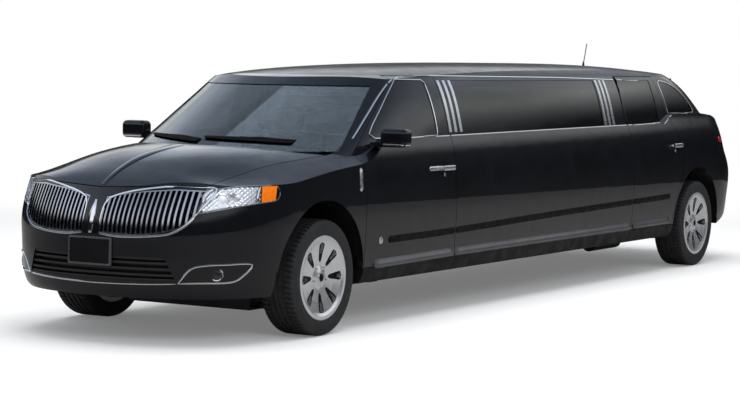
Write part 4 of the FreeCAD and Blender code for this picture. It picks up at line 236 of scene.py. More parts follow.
LENS = Finish("clear_lamp", (0.95, 0.96, 0.98), 0.02).varied(30, 0.02, 0.3).clear(1.04).coated(1.0, 0.02)
FOG_LENS = Finish("fog_lens", (0.02, 0.021, 0.023), 0.05)
FOG_LENS.varied(30, 0.1, 0.3).clear(1.2, 0.6).coated(1.0, 0.03, 1.3)
AMBER = Finish("amber_lamp", (0.95, 0.20, 0.01), 0.08)
AMBER.varied(40, 0.12, 0.3).bumped(120, 0.0012, 0.7, stretch=(1, 1, 0.2)).coated()
RED = Finish("red_lamp", (0.55, 0.008, 0.008), 0.08)
RED.varied(40, 0.12, 0.3).bumped(140, 0.0012, 0.6, stretch=(1, 1, 0.2)).coated()
# Dome of a projector lamp, painted near white as a painted highlight
GLOW = Finish("bulb_glow", (0.92, 0.95, 1.0), 0.05, specular=0.8).varied(60, 0.03, 0.3).coated(1.0, 0.02, 1.8)
RUBBER = Finish("tyre_rubber", (0.018, 0.018, 0.019), 0.62, specular=0.35)
RUBBER.varied(12.0, 0.2, 0.15).bumped(400, 0.0003, 0.6)
STEEL = Finish("floor_steel", (0.03, 0.03, 0.032), 0.55, 0.4).varied(3.0, 0.3).bumped(200, 0.0003, 0.6)
CAST = Finish("cast_metal", (0.16, 0.16, 0.165), 0.5, 0.8).varied(8.0, 0.2).bumped(260, 0.0005, 0.7)
LEATHER = leather()

NODE_FINISHES = {
    PAINT: [
        "screen_frame", "stretch_sides", "fenders", "front_bumper", "hood", "quarter_panels",
        "rear_bumper", "tailgate", "door_front_left", "door_front_right", "door_rear_left", "door_rear_right",
    ],
    ROOF_PAINT: ["roof_panel"],
    PLASTIC: ["grille_inserts", "antenna", "partition"],
    DASH: ["cowl", "dashboard", "wipers"],
    SATIN: ["floor_pan"],
    SATIN_CHROME: ["pillar_bars"],
    GRILLE_CHROME: ["grille"],
    SCREEN: ["windscreen"],
    DOOR_GLASS: ["door_glass_front_left", "door_glass_front_right"],
    PRIVACY: ["side_windows", "tailgate_glass", "door_glass_rear_left", "door_glass_rear_right"],
    LENS: ["headlamps"],
    FOG_LENS: ["fog_lamps"],
    AMBER: ["marker_lamps"],
    RED: ["tail_lamps"],
    ALLOY: ["rim_front_left", "rim_front_right", "rim_rear_left", "rim_rear_right"],
    STEEL: ["exhaust", "fuel_tank", "front_subframe", "rear_axle"],
    CAST: ["engine_block", "knuckle_left", "knuckle_right"],
    LEATHER: ["steering_wheel", "front_seats", "lounge_seats"],
}


def paint_nodes():
    for finish, names in NODE_FINISHES.items():
        for name in names:
            mesh = nodes[name].data
            mesh.materials.clear()
            mesh.materials.append(finish.material)


# Mesh helpers
def placed(name, data):
    """New object in the scene."""
    thing = bpy.data.objects.new(name, data)
    bpy.context.scene.collection.objects.link(thing)
    return thing


def new_piece(name, mesh, finish, body, smooth_angle=35):
    """Links a finished mesh as a piece that rides on a body."""
    mesh.name = name
    for polygon in mesh.polygons:
        polygon.use_smooth = True
    mesh.set_sharp_from_angle(angle=math.radians(smooth_angle))
    mesh.materials.append(finish.material)
    piece = placed(name, mesh)
    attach(piece, body)
    return piece


def flipped(mesh):
    """Copy of a mesh mirrored to the car's other side."""
    work = bmesh.new()
    work.from_mesh(mesh)
    for vertex in work.verts:
        vertex.co.x = -vertex.co.x
    bmesh.ops.reverse_faces(work, faces=work.faces)
    result = bpy.data.meshes.new("flipped")
    work.to_mesh(result)
    work.free()
    return result


def both_sides(name, mesh, finish, left_body, smooth_angle=35):
    """A piece on the car's left and its mirror image on the right, each on its own side's body."""
    for side, data in (("left", mesh), ("right", flipped(mesh))):
        new_piece(f"{name}_{side}", data, finish, left_body.replace("left", side), smooth_angle)


def mesh_from(points, faces, outwards=False, merge=False):
    """Mesh of points and faces. Its doubled points may be merged and its normals turned outwards."""
    mesh = bpy.data.meshes.new("piece")
    mesh.from_pydata([tuple(point) for point in points], [], faces)
    mesh.validate()
    mesh.update()
    if outwards:
        work = bmesh.new()
        work.from_mesh(mesh)
        if merge:
            bmesh.ops.remove_doubles(work, verts=work.verts, dist=0.00001)
        bmesh.ops.recalc_face_normals(work, faces=work.faces)
        work.to_mesh(mesh)
        work.free()
    return mesh


def joined(meshes):
    """One mesh from several."""
    work = bmesh.new()
    for mesh in meshes:
        work.from_mesh(mesh)
    result = bpy.data.meshes.new("joined")
    work.to_mesh(result)
    work.free()
    return result


def wall(rows, ring, looped=True, closed=False):
    """Quads between rows of ring points. Each row may run round, and the last row may join the first."""
    faces = []
    for row in range(rows if closed else rows - 1):
        start, following = row * ring, (row + 1) % rows * ring
        for step in range(ring if looped else ring - 1):
            further = (step + 1) % ring
            faces.append((start + step, start + further, following + further, following + step))
    return faces


def caps(rows, ring):
    """Faces that close the first and the last row."""
    return [tuple(reversed(range(ring))), tuple(range((rows - 1) * ring, rows * ring))]


def fan(rows, ring):
    """Triangles from the last row to the single point after it."""
    start = (rows - 1) * ring
    return [(start + step, start + (step + 1) % ring, rows * ring) for step in range(ring)]


class Skin:
    """Surface of several CAD nodes that knows which node a ray meets first."""

    def __init__(self, *names):
        points, faces = [], []
        self.owners = []
        for name in names:
            mesh = nodes[name].data
            start = len(points)
            points.extend(vertex.co.copy() for vertex in mesh.vertices)
            for polygon in mesh.polygons:
                faces.append([start + index for index in polygon.vertices])
                self.owners.append(name)
        self.tree = BVHTree.FromPolygons(points, faces)

    def seat(self, origin, direction):
        """Place, outward normal and node, or None where the ray meets nothing."""
        direction = Vector(direction).normalized()
        place, normal, index, _ = self.tree.ray_cast(Vector(origin), direction)
        if place is None:
            return None
        if normal.dot(direction) > 0:
            normal = -normal
        return place, normal, self.owners[index]


SIDE_NODES = (
    "fenders", "door_front_left", "door_glass_front_left", "stretch_sides", "side_windows", "door_rear_left",
    "door_glass_rear_left", "quarter_panels", "roof_panel", "screen_frame", "front_bumper", "rear_bumper",
)
NOSE_NODES = (
    "front_bumper", "grille", "grille_inserts", "headlamps", "fog_lamps", "marker_lamps", "fenders", "hood")
SIDE_SKIN = Skin(*SIDE_NODES)
NOSE_SKIN = Skin(*NOSE_NODES)
REAR_SKIN = Skin("rear_bumper", "tailgate", "tailgate_glass", "quarter_panels", "tail_lamps", "roof_panel")

# Ways that rays go, and where they start in millimetres
TO_SIDE = Vector((-1, 0, 0))
TO_NOSE = Vector((0, 1, 0))
TO_TAIL = Vector((0, -1, 0))
FROM_ABOVE = Vector((0, 0, -1))
FROM_CORNER = Vector((-0.62, 0.78, -0.05))
FROM_REAR_CORNER = Vector((-0.85, -0.52, 0))
UP = Vector((0, 0, 1))
BESIDE = 1200
FAR_BESIDE = 1300
BEFORE_NOSE = -1500
ABOVE_HOOD = 1500
# The same in metres: behind the car, and back along a ray from a place near a lens
BEHIND_TAIL = 4.9
BEFORE_LENS = 0.4


def body_of(node):
    return nodes[node].parent.name.split(":")[1]


def softened(seats, closed=False):
    """Seats whose normals are averaged with their neighbours'."""
    count = len(seats)
    result = []
    for index, (place, _) in enumerate(seats):
        total = Vector()
        for near in range(index - 2, index + 3):
            if closed:
                near %= count
            if 0 <= near < count:
                total += seats[near][1]
        result.append((place, total.normalized()))
    return result


def runs_on(skin, points, direction, longest_step, back):
    """Runs of neighbouring seats that ride on one body."""
    direction = Vector(direction).normalized()
    runs = []
    for point in points:
        seat = skin.seat(point - direction * back, direction)
        if seat is None:
            runs.append((None, []))
            continue
        place, normal, owner = seat
        body = body_of(owner)
        joins = runs and runs[-1][0] == body and (place - runs[-1][1][-1][0]).length < longest_step
        if not joins:
            runs.append((body, []))
        runs[-1][1].append((place, normal))
    return [(body, softened(seats)) for body, seats in runs if len(seats) > 2]


def smoothed(path, pitch):
    """Points at about this pitch along a smooth curve through given points."""
    points = [Vector(point) for point in path]
    padded = [points[0] * 2 - points[1], *points, points[-1] * 2 - points[-2]]
    result = [points[0]]
    for index in range(1, len(padded) - 2):
        p0, p1, p2, p3 = padded[index - 1:index + 3]
        steps = max(1, round((p2 - p1).length / pitch))
        for step in range(1, steps + 1):
            t = step / steps
            result.append(0.5 * (
                2 * p1 + (p2 - p0) * t + (2 * p0 - 5 * p1 + 4 * p2 - p3) * t * t
                + (3 * p1 - p0 - 3 * p2 + p3) * t * t * t))
    return result


# Sections of strips, as shares of their width and of their rise or sink
ROUNDED_SECTION = (
    (-0.5, -1.0), (-0.5, 0.35), (-0.32, 0.85), (0.0, 1.0), (0.32, 0.85), (0.5, 0.35), (0.5, -1.0))
LEDGE_SECTION = (
    (-0.5, -1.0), (-0.5, 0.02), (-0.38, 0.16), (-0.2, 0.46), (-0.02, 0.78), (0.12, 0.97), (0.26, 1.0),
    (0.42, 0.82), (0.5, 0.4), (0.5, -1.0))
HANDLE_SECTION = (
    (-0.5, -1.0), (-0.5, 0.2), (-0.42, 0.7), (-0.2, 1.0), (0.2, 1.0), (0.42, 0.7), (0.5, 0.2), (0.5, -1.0))
END_TAPER = 0.012
TAPER_PER_RISE = 4
LEAST_END_SHARE = 0.35
FINE_PITCH = 0.014
LOOP_PITCH = 0.03


def rounded_off(to_end, reach):
    """Share of the full section at a distance from a strip's end."""
    share = min(1.0, to_end / reach)
    return max(LEAST_END_SHARE, math.sqrt(1 - (1 - share) ** 2))


def moulding(seats, width, rise, sink, closed=False, section=ROUNDED_SECTION):
    """Strip that follows places with normals: width across, rise above the skin and sink into it."""
    count = len(seats)
    points = []
    first, last = seats[0][0], seats[-1][0]
    for index, (place, normal) in enumerate(seats):
        to_end = min((place - first).length, (place - last).length)
        wide = 1.0 if closed else rounded_off(to_end, END_TAPER)
        high = 1.0 if closed else rounded_off(to_end, max(END_TAPER, TAPER_PER_RISE * rise))
        before = seats[index - 1][0] if index or closed else place
        after = seats[(index + 1) % count][0] if index < count - 1 or closed else place
        along = (after - before).normalized()
        across = along.cross(normal).normalized()
        for side, height in section:
            lift = height * rise * high if height > 0 else height * sink
            points.append(place + across * side * width * wide + normal * lift)
    ring = len(section)
    faces = wall(count, ring, closed=closed)
    if not closed:
        faces.extend(tuple(reversed(face)) for face in caps(count, ring))
    return mesh_from(points, faces, outwards=True)


def trim(
        name, skin, points, direction, width, rise, finish=CHROME, pitch=FINE_PITCH, sink=0.002, back=0.0,
        pair=True, section=ROUNDED_SECTION, hinge_places=0):
    """Moulding laid on a skin along points, one piece for each body that it crosses.

    Each door's piece leaves out hinge_places of its first places, which gives its hinged edge room to swing.
    """
    points = smoothed(points, pitch)
    for number, (body, seats) in enumerate(runs_on(skin, points, direction, pitch * 3, back)):
        if body.startswith("door"):
            seats = seats[hinge_places:]
        mesh = moulding(seats, width, rise, sink, section=section)
        put = both_sides if pair else new_piece
        put(f"{name}_{number}", mesh, finish, body)


def ring_trim(name, skin, points, direction, width, rise, finish=CHROME, back=0.0):
    """Closed mouldings on one body and on its partner."""
    direction = Vector(direction).normalized()
    seats = [skin.seat(point - direction * back, direction) for point in points]
    seats = [seat for seat in seats if seat]
    mesh = moulding(softened([seat[:2] for seat in seats], True), width, rise, 0.002, closed=True)
    both_sides(name, mesh, finish, body_of(seats[0][2]))


def rounded_loop(path):
    """Points along a smooth closed curve."""
    return smoothed([*path, path[0]], LOOP_PITCH)[:-1]


def lathe(profile, centre, axis, segments=40):
    """Turned piece: profile of (radius, height along the axis) about an axis through centre."""
    axis = Vector(axis).normalized()
    side = axis.orthogonal().normalized()
    other = axis.cross(side)
    points = []
    for radius, height in profile:
        for angle in angles(segments):
            points.append(centre + axis * height + (side * math.cos(angle) + other * math.sin(angle)) * radius)
    faces = wall(len(profile), segments) + caps(len(profile), segments)
    return mesh_from(points, faces, outwards=True, merge=True)


# Tyres with their tread
TYRE_RADIUS = 0.370
TYRE_BEAD = (0.1037, 0.2523)
SIDEWALL = (
    (0.1037, 0.2683), (0.1120, 0.2690), (0.1185, 0.2725), (0.1215, 0.2790), (0.1212, 0.2830), (0.1240, 0.2900),
    (0.1268, 0.3000), (0.1275, 0.3110), (0.1270, 0.3230), (0.1252, 0.3350), (0.1225, 0.3460), (0.1190, 0.3550),
)
# Across the tread: place from the middle, share of the shoulder's drop, and how much of the groove depth
# is cut, always and where a sipe runs
TREAD_ROWS = (
    (0.1155, 0.75, 0.0, 1.0), (0.1080, 0.30, 0.0, 1.0), (0.0980, 0.08, 0.0, 1.0), (0.0640, 0.02, 0.0, 1.0),
    (0.0630, 0.02, 1.0, 1.0), (0.0530, 0.01, 1.0, 1.0), (0.0520, 0.01, 0.0, 0.0), (0.0380, 0.0, 0.0, 0.55),
    (0.0240, 0.0, 0.0, 0.0), (0.0230, 0.0, 1.0, 1.0), (0.0130, 0.0, 1.0, 1.0), (0.0120, 0.0, 0.0, 0.0),
)
TREAD_PITCHES = 68
TREAD_DEPTH = 0.0075
TREAD_LEAN = 2.2
SHOULDER_DROP = 0.0085
# Places within one pitch of the tread, and how far the sipe is cut there
PITCH_SHARES = ((0.0, 0.0), (0.68, 0.0), (0.74, 1.0), (0.94, 1.0))


def tyre_mesh():
    """Tyre about the X axis, its outer side towards +X."""
    half = [(x, 0.0, 0.0, radius) for x, radius in (TYRE_BEAD, *SIDEWALL)]
    half += [(x, groove, sipe, TYRE_RADIUS - drop * SHOULDER_DROP) for x, drop, groove, sipe in TREAD_ROWS]
    rows = half + [(-x, *rest) for x, *rest in reversed(half)]
    points = []
    for pitch in range(TREAD_PITCHES):
        for share, cut in PITCH_SHARES:
            angle = FULL_TURN * (pitch + share) / TREAD_PITCHES
            for x, groove, sipe, radius in rows:
                r = radius - max(groove, sipe * cut) * TREAD_DEPTH
                lean = angle + x * abs(x) * TREAD_LEAN
                points.append((x, r * math.cos(lean), r * math.sin(lean)))
    quads = wall(TREAD_PITCHES * len(PITCH_SHARES), len(rows), closed=True)
    return mesh_from(points, [(a, d, c, b) for a, b, c, d in quads], outwards=True)


def tyres():
    for end in ("front", "rear"):
        for side, sign in SIDE_OF.items():
            node = f"tyre_{end}_{side}"
            mesh = tyre_mesh()
            turn = Matrix.Rotation(0 if sign > 0 else math.pi, 4, "Z")
            mesh.transform(Matrix.Translation(centre_of(node)) @ turn)
            piece = new_piece(f"tyre_tread_{end}_{side}", mesh, RUBBER, f"wheel_{end}_{side}", 28)
            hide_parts(node)


# Rims: dark pockets round the slots (dark paint and painted shade of the recesses), plain centre caps, and
# nuts in their ring
SPOKES = 8
POCKET_INNER, POCKET_OUTER = 0.098, 0.224
POCKET_HALF_INNER, POCKET_HALF_GROWTH = 0.011, 0.020
POCKET_LIFT = 0.0012
POCKET_SLACK = 0.008
POCKET_ROWS, POCKET_COLUMNS = 18, 12
NUTS = 5
NUT_CIRCLE = 0.070


def rim_details():
    skin = Skin("rim_front_left")
    centre = centre_of("rim_front_left")
    axis = -TO_SIDE

    def face_x(radius, angle):
        start = centre + Vector((0.4, radius * math.sin(angle), radius * math.cos(angle)))
        place = skin.seat(start, TO_SIDE)
        return place[0].x if place else -1

    def rounding(share):
        """How far the pocket's ends are rounded off at this share of its length."""
        parts = (share * 3, (1 - share) * 4)
        ends = [math.sqrt(max(0.0, math.sin(math.pi * min(part, 0.5)))) for part in parts]
        return max(0.12, min(1.0, *ends))

    # Dark pockets round each slot: partly dark paint and partly painted shade of the slot's recess.
    points, faces = [], []
    for angle in angles(SPOKES):
        start = len(points)
        for row in range(POCKET_ROWS + 1):
            share = row / POCKET_ROWS
            radius = POCKET_INNER + (POCKET_OUTER - POCKET_INNER) * share
            level = face_x(radius, angle + math.pi / SPOKES) + POCKET_LIFT
            half = (POCKET_HALF_INNER + POCKET_HALF_GROWTH * share) * rounding(share)
            for column in range(POCKET_COLUMNS + 1):
                turn = angle + half * (2 * column / POCKET_COLUMNS - 1) / radius
                y, z = centre.y + radius * math.sin(turn), centre.z + radius * math.cos(turn)
                points.append(Vector((level, y, z)))
        for a, b, c, d in wall(POCKET_ROWS + 1, POCKET_COLUMNS + 1, looped=False):
            corners = (start + a, start + b, start + c, start + d)
            middle = sum((points[index] for index in corners), Vector()) / 4 - centre
            level = face_x(math.hypot(middle.y, middle.z), math.atan2(middle.y, middle.z))
            if level > middle.x + centre.x - POCKET_SLACK:
                faces.append(corners)
    hub = Vector((face_x(0.004, 0.3), centre.y, centre.z))
    cap = lathe((
        (0.033, -0.004), (0.033, 0.002), (0.031, 0.004), (0.028, 0.0045), (0.0265, 0.003), (0.0005, 0.0042)),
        hub, axis)
    disc = lathe(((0.0255, 0.002), (0.0250, 0.0038), (0.014, 0.0050), (0.0005, 0.0054)), hub, axis)
    nuts = []
    for step in range(NUTS):
        angle = FULL_TURN * (step + 0.5) / NUTS
        y, z = centre.y + NUT_CIRCLE * math.sin(angle), centre.z + NUT_CIRCLE * math.cos(angle)
        nuts.append(lathe((
            (0.0105, -0.003), (0.0105, 0.005), (0.0085, 0.009), (0.004, 0.0105), (0.0005, 0.0107)),
            Vector((face_x(NUT_CIRCLE, angle), y, z)), axis, 6))
    for end in ("front", "rear"):
        shift = Matrix.Translation(centre_of(f"rim_{end}_left") - centre)
        for name, mesh, finish, angle in (
                ("rim_pockets", mesh_from(points, faces), GUARD, 60), ("centre_cap", cap, CHROME, 35),
                ("cap_disc", disc, GUARD, 35), ("wheel_nuts", joined(nuts), CHROME, 30)):
            copy = mesh.copy()
            copy.transform(shift)
            both_sides(f"{name}_{end}", copy, finish, f"wheel_{end}_left", angle)


# Chrome round the side windows
WINDOW_X = 955
GLASS_MARGIN = 0.007
EDGE_HALVINGS = 13
LOOP_STEPS = 72
SHORTEST_STEP = 0.006
LINE_PITCH = 90


def glass_edge(glass, centre, target):
    """Where, going from a window's middle outwards, the glass ends, and a little beyond."""
    low, high = 0.0, 1.0
    for _ in range(EDGE_HALVINGS):
        middle = (low + high) / 2
        seat = SIDE_SKIN.seat(centre.lerp(target, middle), TO_SIDE)
        if seat and seat[2] == glass:
            low = middle
        else:
            high = middle
    return centre.lerp(target, low) + (target - centre).normalized() * GLASS_MARGIN


def window_loop(name, glass, middle, reach):
    """Closed chrome line round a window, seen from the side."""
    centre = at(WINDOW_X, *middle)
    points = []
    for angle in angles(LOOP_STEPS):
        outwards = Vector((0, math.cos(angle), math.sin(angle))) * reach
        points.append(glass_edge(glass, centre, centre + outwards))
    kept = [point for index, point in enumerate(points) if (point - points[index - 1]).length > SHORTEST_STEP]
    ring_trim(name, SIDE_SKIN, kept, TO_SIDE, 0.009, 0.004)


def window_line(name, glass, probes, span, middle_z):
    """Chrome line along a window's lower edge, found at the probes and carried on over the whole span."""
    edges = []
    for distance in probes:
        centre = at(WINDOW_X, distance, middle_z)
        edges.append((distance, glass_edge(glass, centre, centre - UP * 0.4).z / MM))
    points = []
    start, end = span
    steps = max(4, round((end - start) / LINE_PITCH))
    for step in range(steps + 1):
        distance = start + (end - start) * step / steps
        index = 0
        while index < len(edges) - 2 and distance > edges[index + 1][0]:
            index += 1
        (s0, z0), (s1, z1) = edges[index], edges[index + 1]
        points.append(at(FAR_BESIDE, distance, z0 + (z1 - z0) * (distance - s0) / (s1 - s0)))
    trim(name, SIDE_SKIN, points, TO_SIDE, 0.009, 0.003)


def beside(places, x=FAR_BESIDE):
    """Points beside the car from pairs of distance and height."""
    return [at(x, distance, z) for distance, z in places]


def side_chrome():
    window_loop("front_window_line", "door_glass_front_left", (1200, 1390), 1.2)
    window_loop("quarter_window_line", "side_windows", (5950, 1420), 1.0)
    window_line("long_window_belt", "side_windows", (2000, 3200, 3900), (1500, 4780), 1430)
    window_line("rear_window_belt", "door_glass_rear_left", (5000, 5250), (4800, 5420), 1400)
    pillar = [
        at(813, 546, 1230), at(801, 626, 1280), at(786, 725, 1344), at(770, 825, 1408), at(754, 927, 1474),
        at(742, 1023, 1533), at(732, 1117, 1587), at(722, 1190, 1616),
    ]
    trim("pillar_line", SIDE_SKIN, pillar, (-0.75, 0.65, -0.1), 0.012, 0.004, back=0.15)
    rise = beside(((5425, 1243), (5500, 1268), (5570, 1300), (5640, 1313)))
    trim("belt_rise", SIDE_SKIN, rise, TO_SIDE, 0.008, 0.003, pitch=0.02)
    top = beside((
        (1200, 1618), (1300, 1633), (1450, 1642), (1625, 1645), (1810, 1643), (2703, 1637), (3701, 1631),
        (4618, 1616), (5200, 1606)))
    trim("roof_line", SIDE_SKIN, top, TO_SIDE, 0.010, 0.003)


# Mouldings low on the sides, sill lines and round badges
def side_mouldings():
    guard = beside(((790, 562), (1700, 570), (3355, 603), (5450, 634)), 980)
    trim("side_guard", SIDE_SKIN, guard, TO_SIDE, 0.046, 0.007, GUARD, sink=0.004, back=0.3)
    place, normal, owner = SIDE_SKIN.seat(at(BESIDE, 690, 563), TO_SIDE)
    badge = lathe((
        (0.024, -0.003), (0.024, 0.003), (0.021, 0.006), (0.012, 0.0075), (0.0005, 0.008)), place, normal, 32)
    both_sides("round_badge", badge, SATIN_CHROME, body_of(owner))
    ledge = beside(((600, 411), (1700, 421), (3372, 426), (5450, 433)), 1100)
    # The ledge's lighter colour is a painted highlight.
    trim("sill_ledge", Skin(*SIDE_NODES, "floor_pan"), ledge, TO_SIDE, 0.062, 0.022, LEDGE_HIGHLIGHT_PAINT, sink=0.006,
         back=0.3, section=LEDGE_SECTION, hinge_places=2)
    blade = beside(((428, 898), (432, 950), (436, 1000), (440, 1048)), 980)
    trim("fender_blade", SIDE_SKIN, blade, TO_SIDE, 0.034, 0.009, SATIN_CHROME, pitch=0.01, back=0.3)
    handle_caps("front", 1375, 1012)
    handle_caps("rear", 5530, 1062)


HANDLE_FACE_X = 0.962
HANDLE_STEP = 4
HANDLE_STEPS = 140
HANDLE_LEAD = 120
SHORTEST_BAR_STEPS = 10


def handle_caps(end, start, height):
    """Bright cap over a door's grab bar, found where it stands out of the door, with its plate and lock."""
    body = f"door_{end}_left"
    door = Skin(body)
    plate = [at(BESIDE, start + along, height) for along in (-45, -20, 30, 90, 150, 200)]
    trim(f"handle_plate_{end}", door, plate, TO_SIDE, 0.030, 0.004, SATIN_CHROME, pitch=0.012)
    bar = []
    for step in range(HANDLE_STEPS):
        seat = door.seat(at(BESIDE, start - HANDLE_LEAD + step * HANDLE_STEP, height), TO_SIDE)
        if seat and seat[0].x > HANDLE_FACE_X:
            bar.append((seat[0], -TO_SIDE))
        elif len(bar) > SHORTEST_BAR_STEPS:
            break
        else:
            bar = []
    mesh = moulding(bar, 0.033, 0.004, 0.016, section=HANDLE_SECTION)
    both_sides(f"handle_cap_{end}", mesh, SATIN_CHROME, body, 50)
    lock = bar[len(bar) // 2][0] + Vector((-0.03, -0.02, -0.045))
    place, normal, _ = door.seat(lock + Vector((0.2, 0, 0)), TO_SIDE)
    barrel = lathe((
        (0.0145, -0.004), (0.0145, 0.002), (0.012, 0.004), (0.004, 0.0042), (0.0035, 0.003), (0.0005, 0.003),
    ), place, normal, 24)
    both_sides(f"lock_{end}", barrel, CHROME, body)


# Door mirrors: glass at the back and a bright strip along the lower edge
MIRROR_HALF_WIDTH, MIRROR_HALF_HEIGHT = 0.080, 0.044
MIRROR_SQUARENESS = 0.45
MIRROR_STEPS = 48
MIRROR_ROWS = ((1.0, -0.003), (1.0, 0.0015), (0.96, 0.0025), (0.66, 0.0035), (0.33, 0.0042))


def mirrors():
    box = Skin("door_front_left")
    middle = at(1062, 690, 1240)
    middle.y = box.seat(middle + Vector((0, 0.3, 0)), TO_TAIL)[0].y
    loop = []
    for angle in angles(MIRROR_STEPS):
        c, s = math.cos(angle), math.sin(angle)
        loop.append((
            math.copysign(abs(c) ** MIRROR_SQUARENESS, c) * MIRROR_HALF_WIDTH,
            math.copysign(abs(s) ** MIRROR_SQUARENESS, s) * MIRROR_HALF_HEIGHT))
    points = []
    for share, bulge in MIRROR_ROWS:
        points.extend(middle + Vector((x * share, bulge, z * share)) for x, z in loop)
    points.append(middle + Vector((0, 0.0045, 0)))
    rows = len(MIRROR_ROWS)
    mesh = mesh_from(points, wall(rows, MIRROR_STEPS) + fan(rows, MIRROR_STEPS))
    both_sides("mirror_glass", mesh, MIRROR, "door_front_left")
    strip = [at(x, 600, 1196) for x in (985, 1010, 1040, 1070, 1100, 1130, 1148)]
    trim("mirror_strip", box, strip, TO_NOSE, 0.013, 0.004, pitch=0.012, back=0.3)
    outer = beside(((655, 1196), (675, 1196), (700, 1196), (725, 1196)), BESIDE)
    trim("mirror_strip_end", box, outer, TO_SIDE, 0.013, 0.004, pitch=0.012, back=0.3)


# Nose: chrome outlines, plain ornament, blank plate, strip and fog lamps
WING = [
    (68, 676), (180, 664), (289, 664), (418, 672), (532, 690), (614, 742), (660, 812), (700, 890), (722, 958),
    (640, 968), (512, 972), (380, 958), (247, 936), (150, 912), (90, 886), (70, 850), (62, 760),
]
FOG_OPENING = [
    (573, -1025, 392), (681, -950, 394), (804, -812, 396), (846, -747, 428), (878, -689, 500),
    (790, -830, 504), (707, -937, 500), (640, -992, 478),
]
LAMP_OUTLINE = [
    (663, -955, 812), (674, -910, 880), (692, -880, 930), (722, -850, 955), (800, -745, 972), (870, -650, 976),
    (934, -500, 968), (940, -505, 890), (880, -640, 868), (812, -780, 848), (740, -880, 828),
]


def nose_trims():
    wing = [at(x, -1300, z) for x, z in WING]
    ring_trim("wing_line", NOSE_SKIN, rounded_loop(wing), TO_NOSE, 0.013, 0.006)
    strip = [at(x, -1300, z) for x, z in ((-560, 389), (-346, 381), (0, 375), (346, 381), (560, 389))]
    trim("bumper_strip", NOSE_SKIN, strip, TO_NOSE, 0.010, 0.005, pitch=LOOP_PITCH, pair=False)
    fog = [at(*place) for place in FOG_OPENING]
    ring_trim("fog_line", NOSE_SKIN, rounded_loop(fog), FROM_CORNER, 0.012, 0.006, back=0.3)
    lamp = [at(*place) for place in LAMP_OUTLINE]
    ring_trim("lamp_line", NOSE_SKIN, rounded_loop(lamp), FROM_CORNER, 0.007, 0.003, DARK_CHROME, back=0.3)
    divider = [at(884, -640, 872), at(887, -640, 920), at(889, -622, 970)]
    trim("lamp_divider", NOSE_SKIN, divider, FROM_CORNER, 0.012, 0.004, pitch=0.012, back=0.3)


BLADE_FOOT, BLADE_HEIGHT = 676, 196
BLADE_HALF, BLADE_SWELL = 0.007, 0.016
BLADE_STEPS = 14
BLADE_SECTION = ((-1.0, -0.003), (-0.85, 0.005), (0.0, 0.013), (0.85, 0.005), (1.0, -0.003))


def ornament():
    """Plain bright blade between the wings."""
    points = []
    for step in range(BLADE_STEPS + 1):
        share = step / BLADE_STEPS
        half = BLADE_HALF + BLADE_SWELL * math.sin(math.pi * min(share * 0.9 + 0.08, 1.0)) ** 0.8
        place, normal, _ = NOSE_SKIN.seat(at(0, BEFORE_NOSE, BLADE_FOOT + BLADE_HEIGHT * share), TO_NOSE)
        for side, height in BLADE_SECTION:
            points.append(place + Vector((half * side, 0, 0)) + normal * height)
    rows, ring = BLADE_STEPS + 1, len(BLADE_SECTION)
    faces = wall(rows, ring, looped=False) + caps(rows, ring)
    new_piece("nose_blade", mesh_from(points, faces), CHROME, "root", 25)


CORNER_STEPS = 6


def rounded_slab(width, height, depth, corner, bevel, middle, facing):
    """Flat plate with round corners and bevelled edges, its middle and the way it faces given."""
    facing = Vector(facing).normalized()
    across = UP.cross(facing).normalized()
    upwards = facing.cross(across)
    outline = []
    for sx, sz, start in ((1, 1, 0), (-1, 1, 90), (-1, -1, 180), (1, -1, 270)):
        for step in range(CORNER_STEPS + 1):
            angle = math.radians(start + step * 90 / CORNER_STEPS)
            outline.append((
                sx * (width / 2 - corner) + math.cos(angle) * corner,
                sz * (height / 2 - corner) + math.sin(angle) * corner))
    points = []
    for shrink, lift in ((0, 0), (0, depth - bevel), (bevel * 0.3, depth - bevel * 0.3), (bevel, depth)):
        kx = (width / 2 - shrink) / (width / 2)
        kz = (height / 2 - shrink) / (height / 2)
        points.extend(middle + across * u * kx + upwards * v * kz + facing * lift for u, v in outline)
    return mesh_from(points, wall(4, len(outline)) + caps(4, len(outline)))


PLATE_WIDTH, PLATE_HEIGHT = 0.302, 0.148
PLATE_PROUD = 0.0025


def blank_plate(end, body, middle, facing, width, height, depth, corner, bevel):
    """Blank plate and the frame round it, whose sizes are given."""
    surround = rounded_slab(width, height, depth, corner, bevel, middle, facing)
    new_piece(f"plate_frame_{end}", surround, PLATE_FRAME, body)
    plate = rounded_slab(PLATE_WIDTH, PLATE_HEIGHT, depth + PLATE_PROUD, 0.008, 0.0015, middle, facing)
    new_piece(f"plate_{end}", plate, GUARD, body)


def front_plate():
    """Blank plate on the nose and the two brackets that carry it."""
    z = 640
    front = NOSE_SKIN.seat(at(0, BEFORE_NOSE, z), TO_NOSE)[0].y
    middle = Vector((0, front + 0.004, 0.567))
    blank_plate("front", "root", middle, (0, -1, 0.03), 0.330, 0.172, 0.012, 0.012, 0.004)
    brackets = []
    for x in (-110, 110):
        foot = NOSE_SKIN.seat(at(x, BEFORE_NOSE, z), TO_NOSE)[0]
        depth = max(foot.y - middle.y, 0.004) + 0.012
        place = Vector((x * MM, foot.y + 0.010, z * MM))
        brackets.append(rounded_slab(0.030, 0.022, depth, 0.004, 0.002, place, TO_TAIL))
    new_piece("plate_brackets", joined(brackets), PLASTIC, "root")


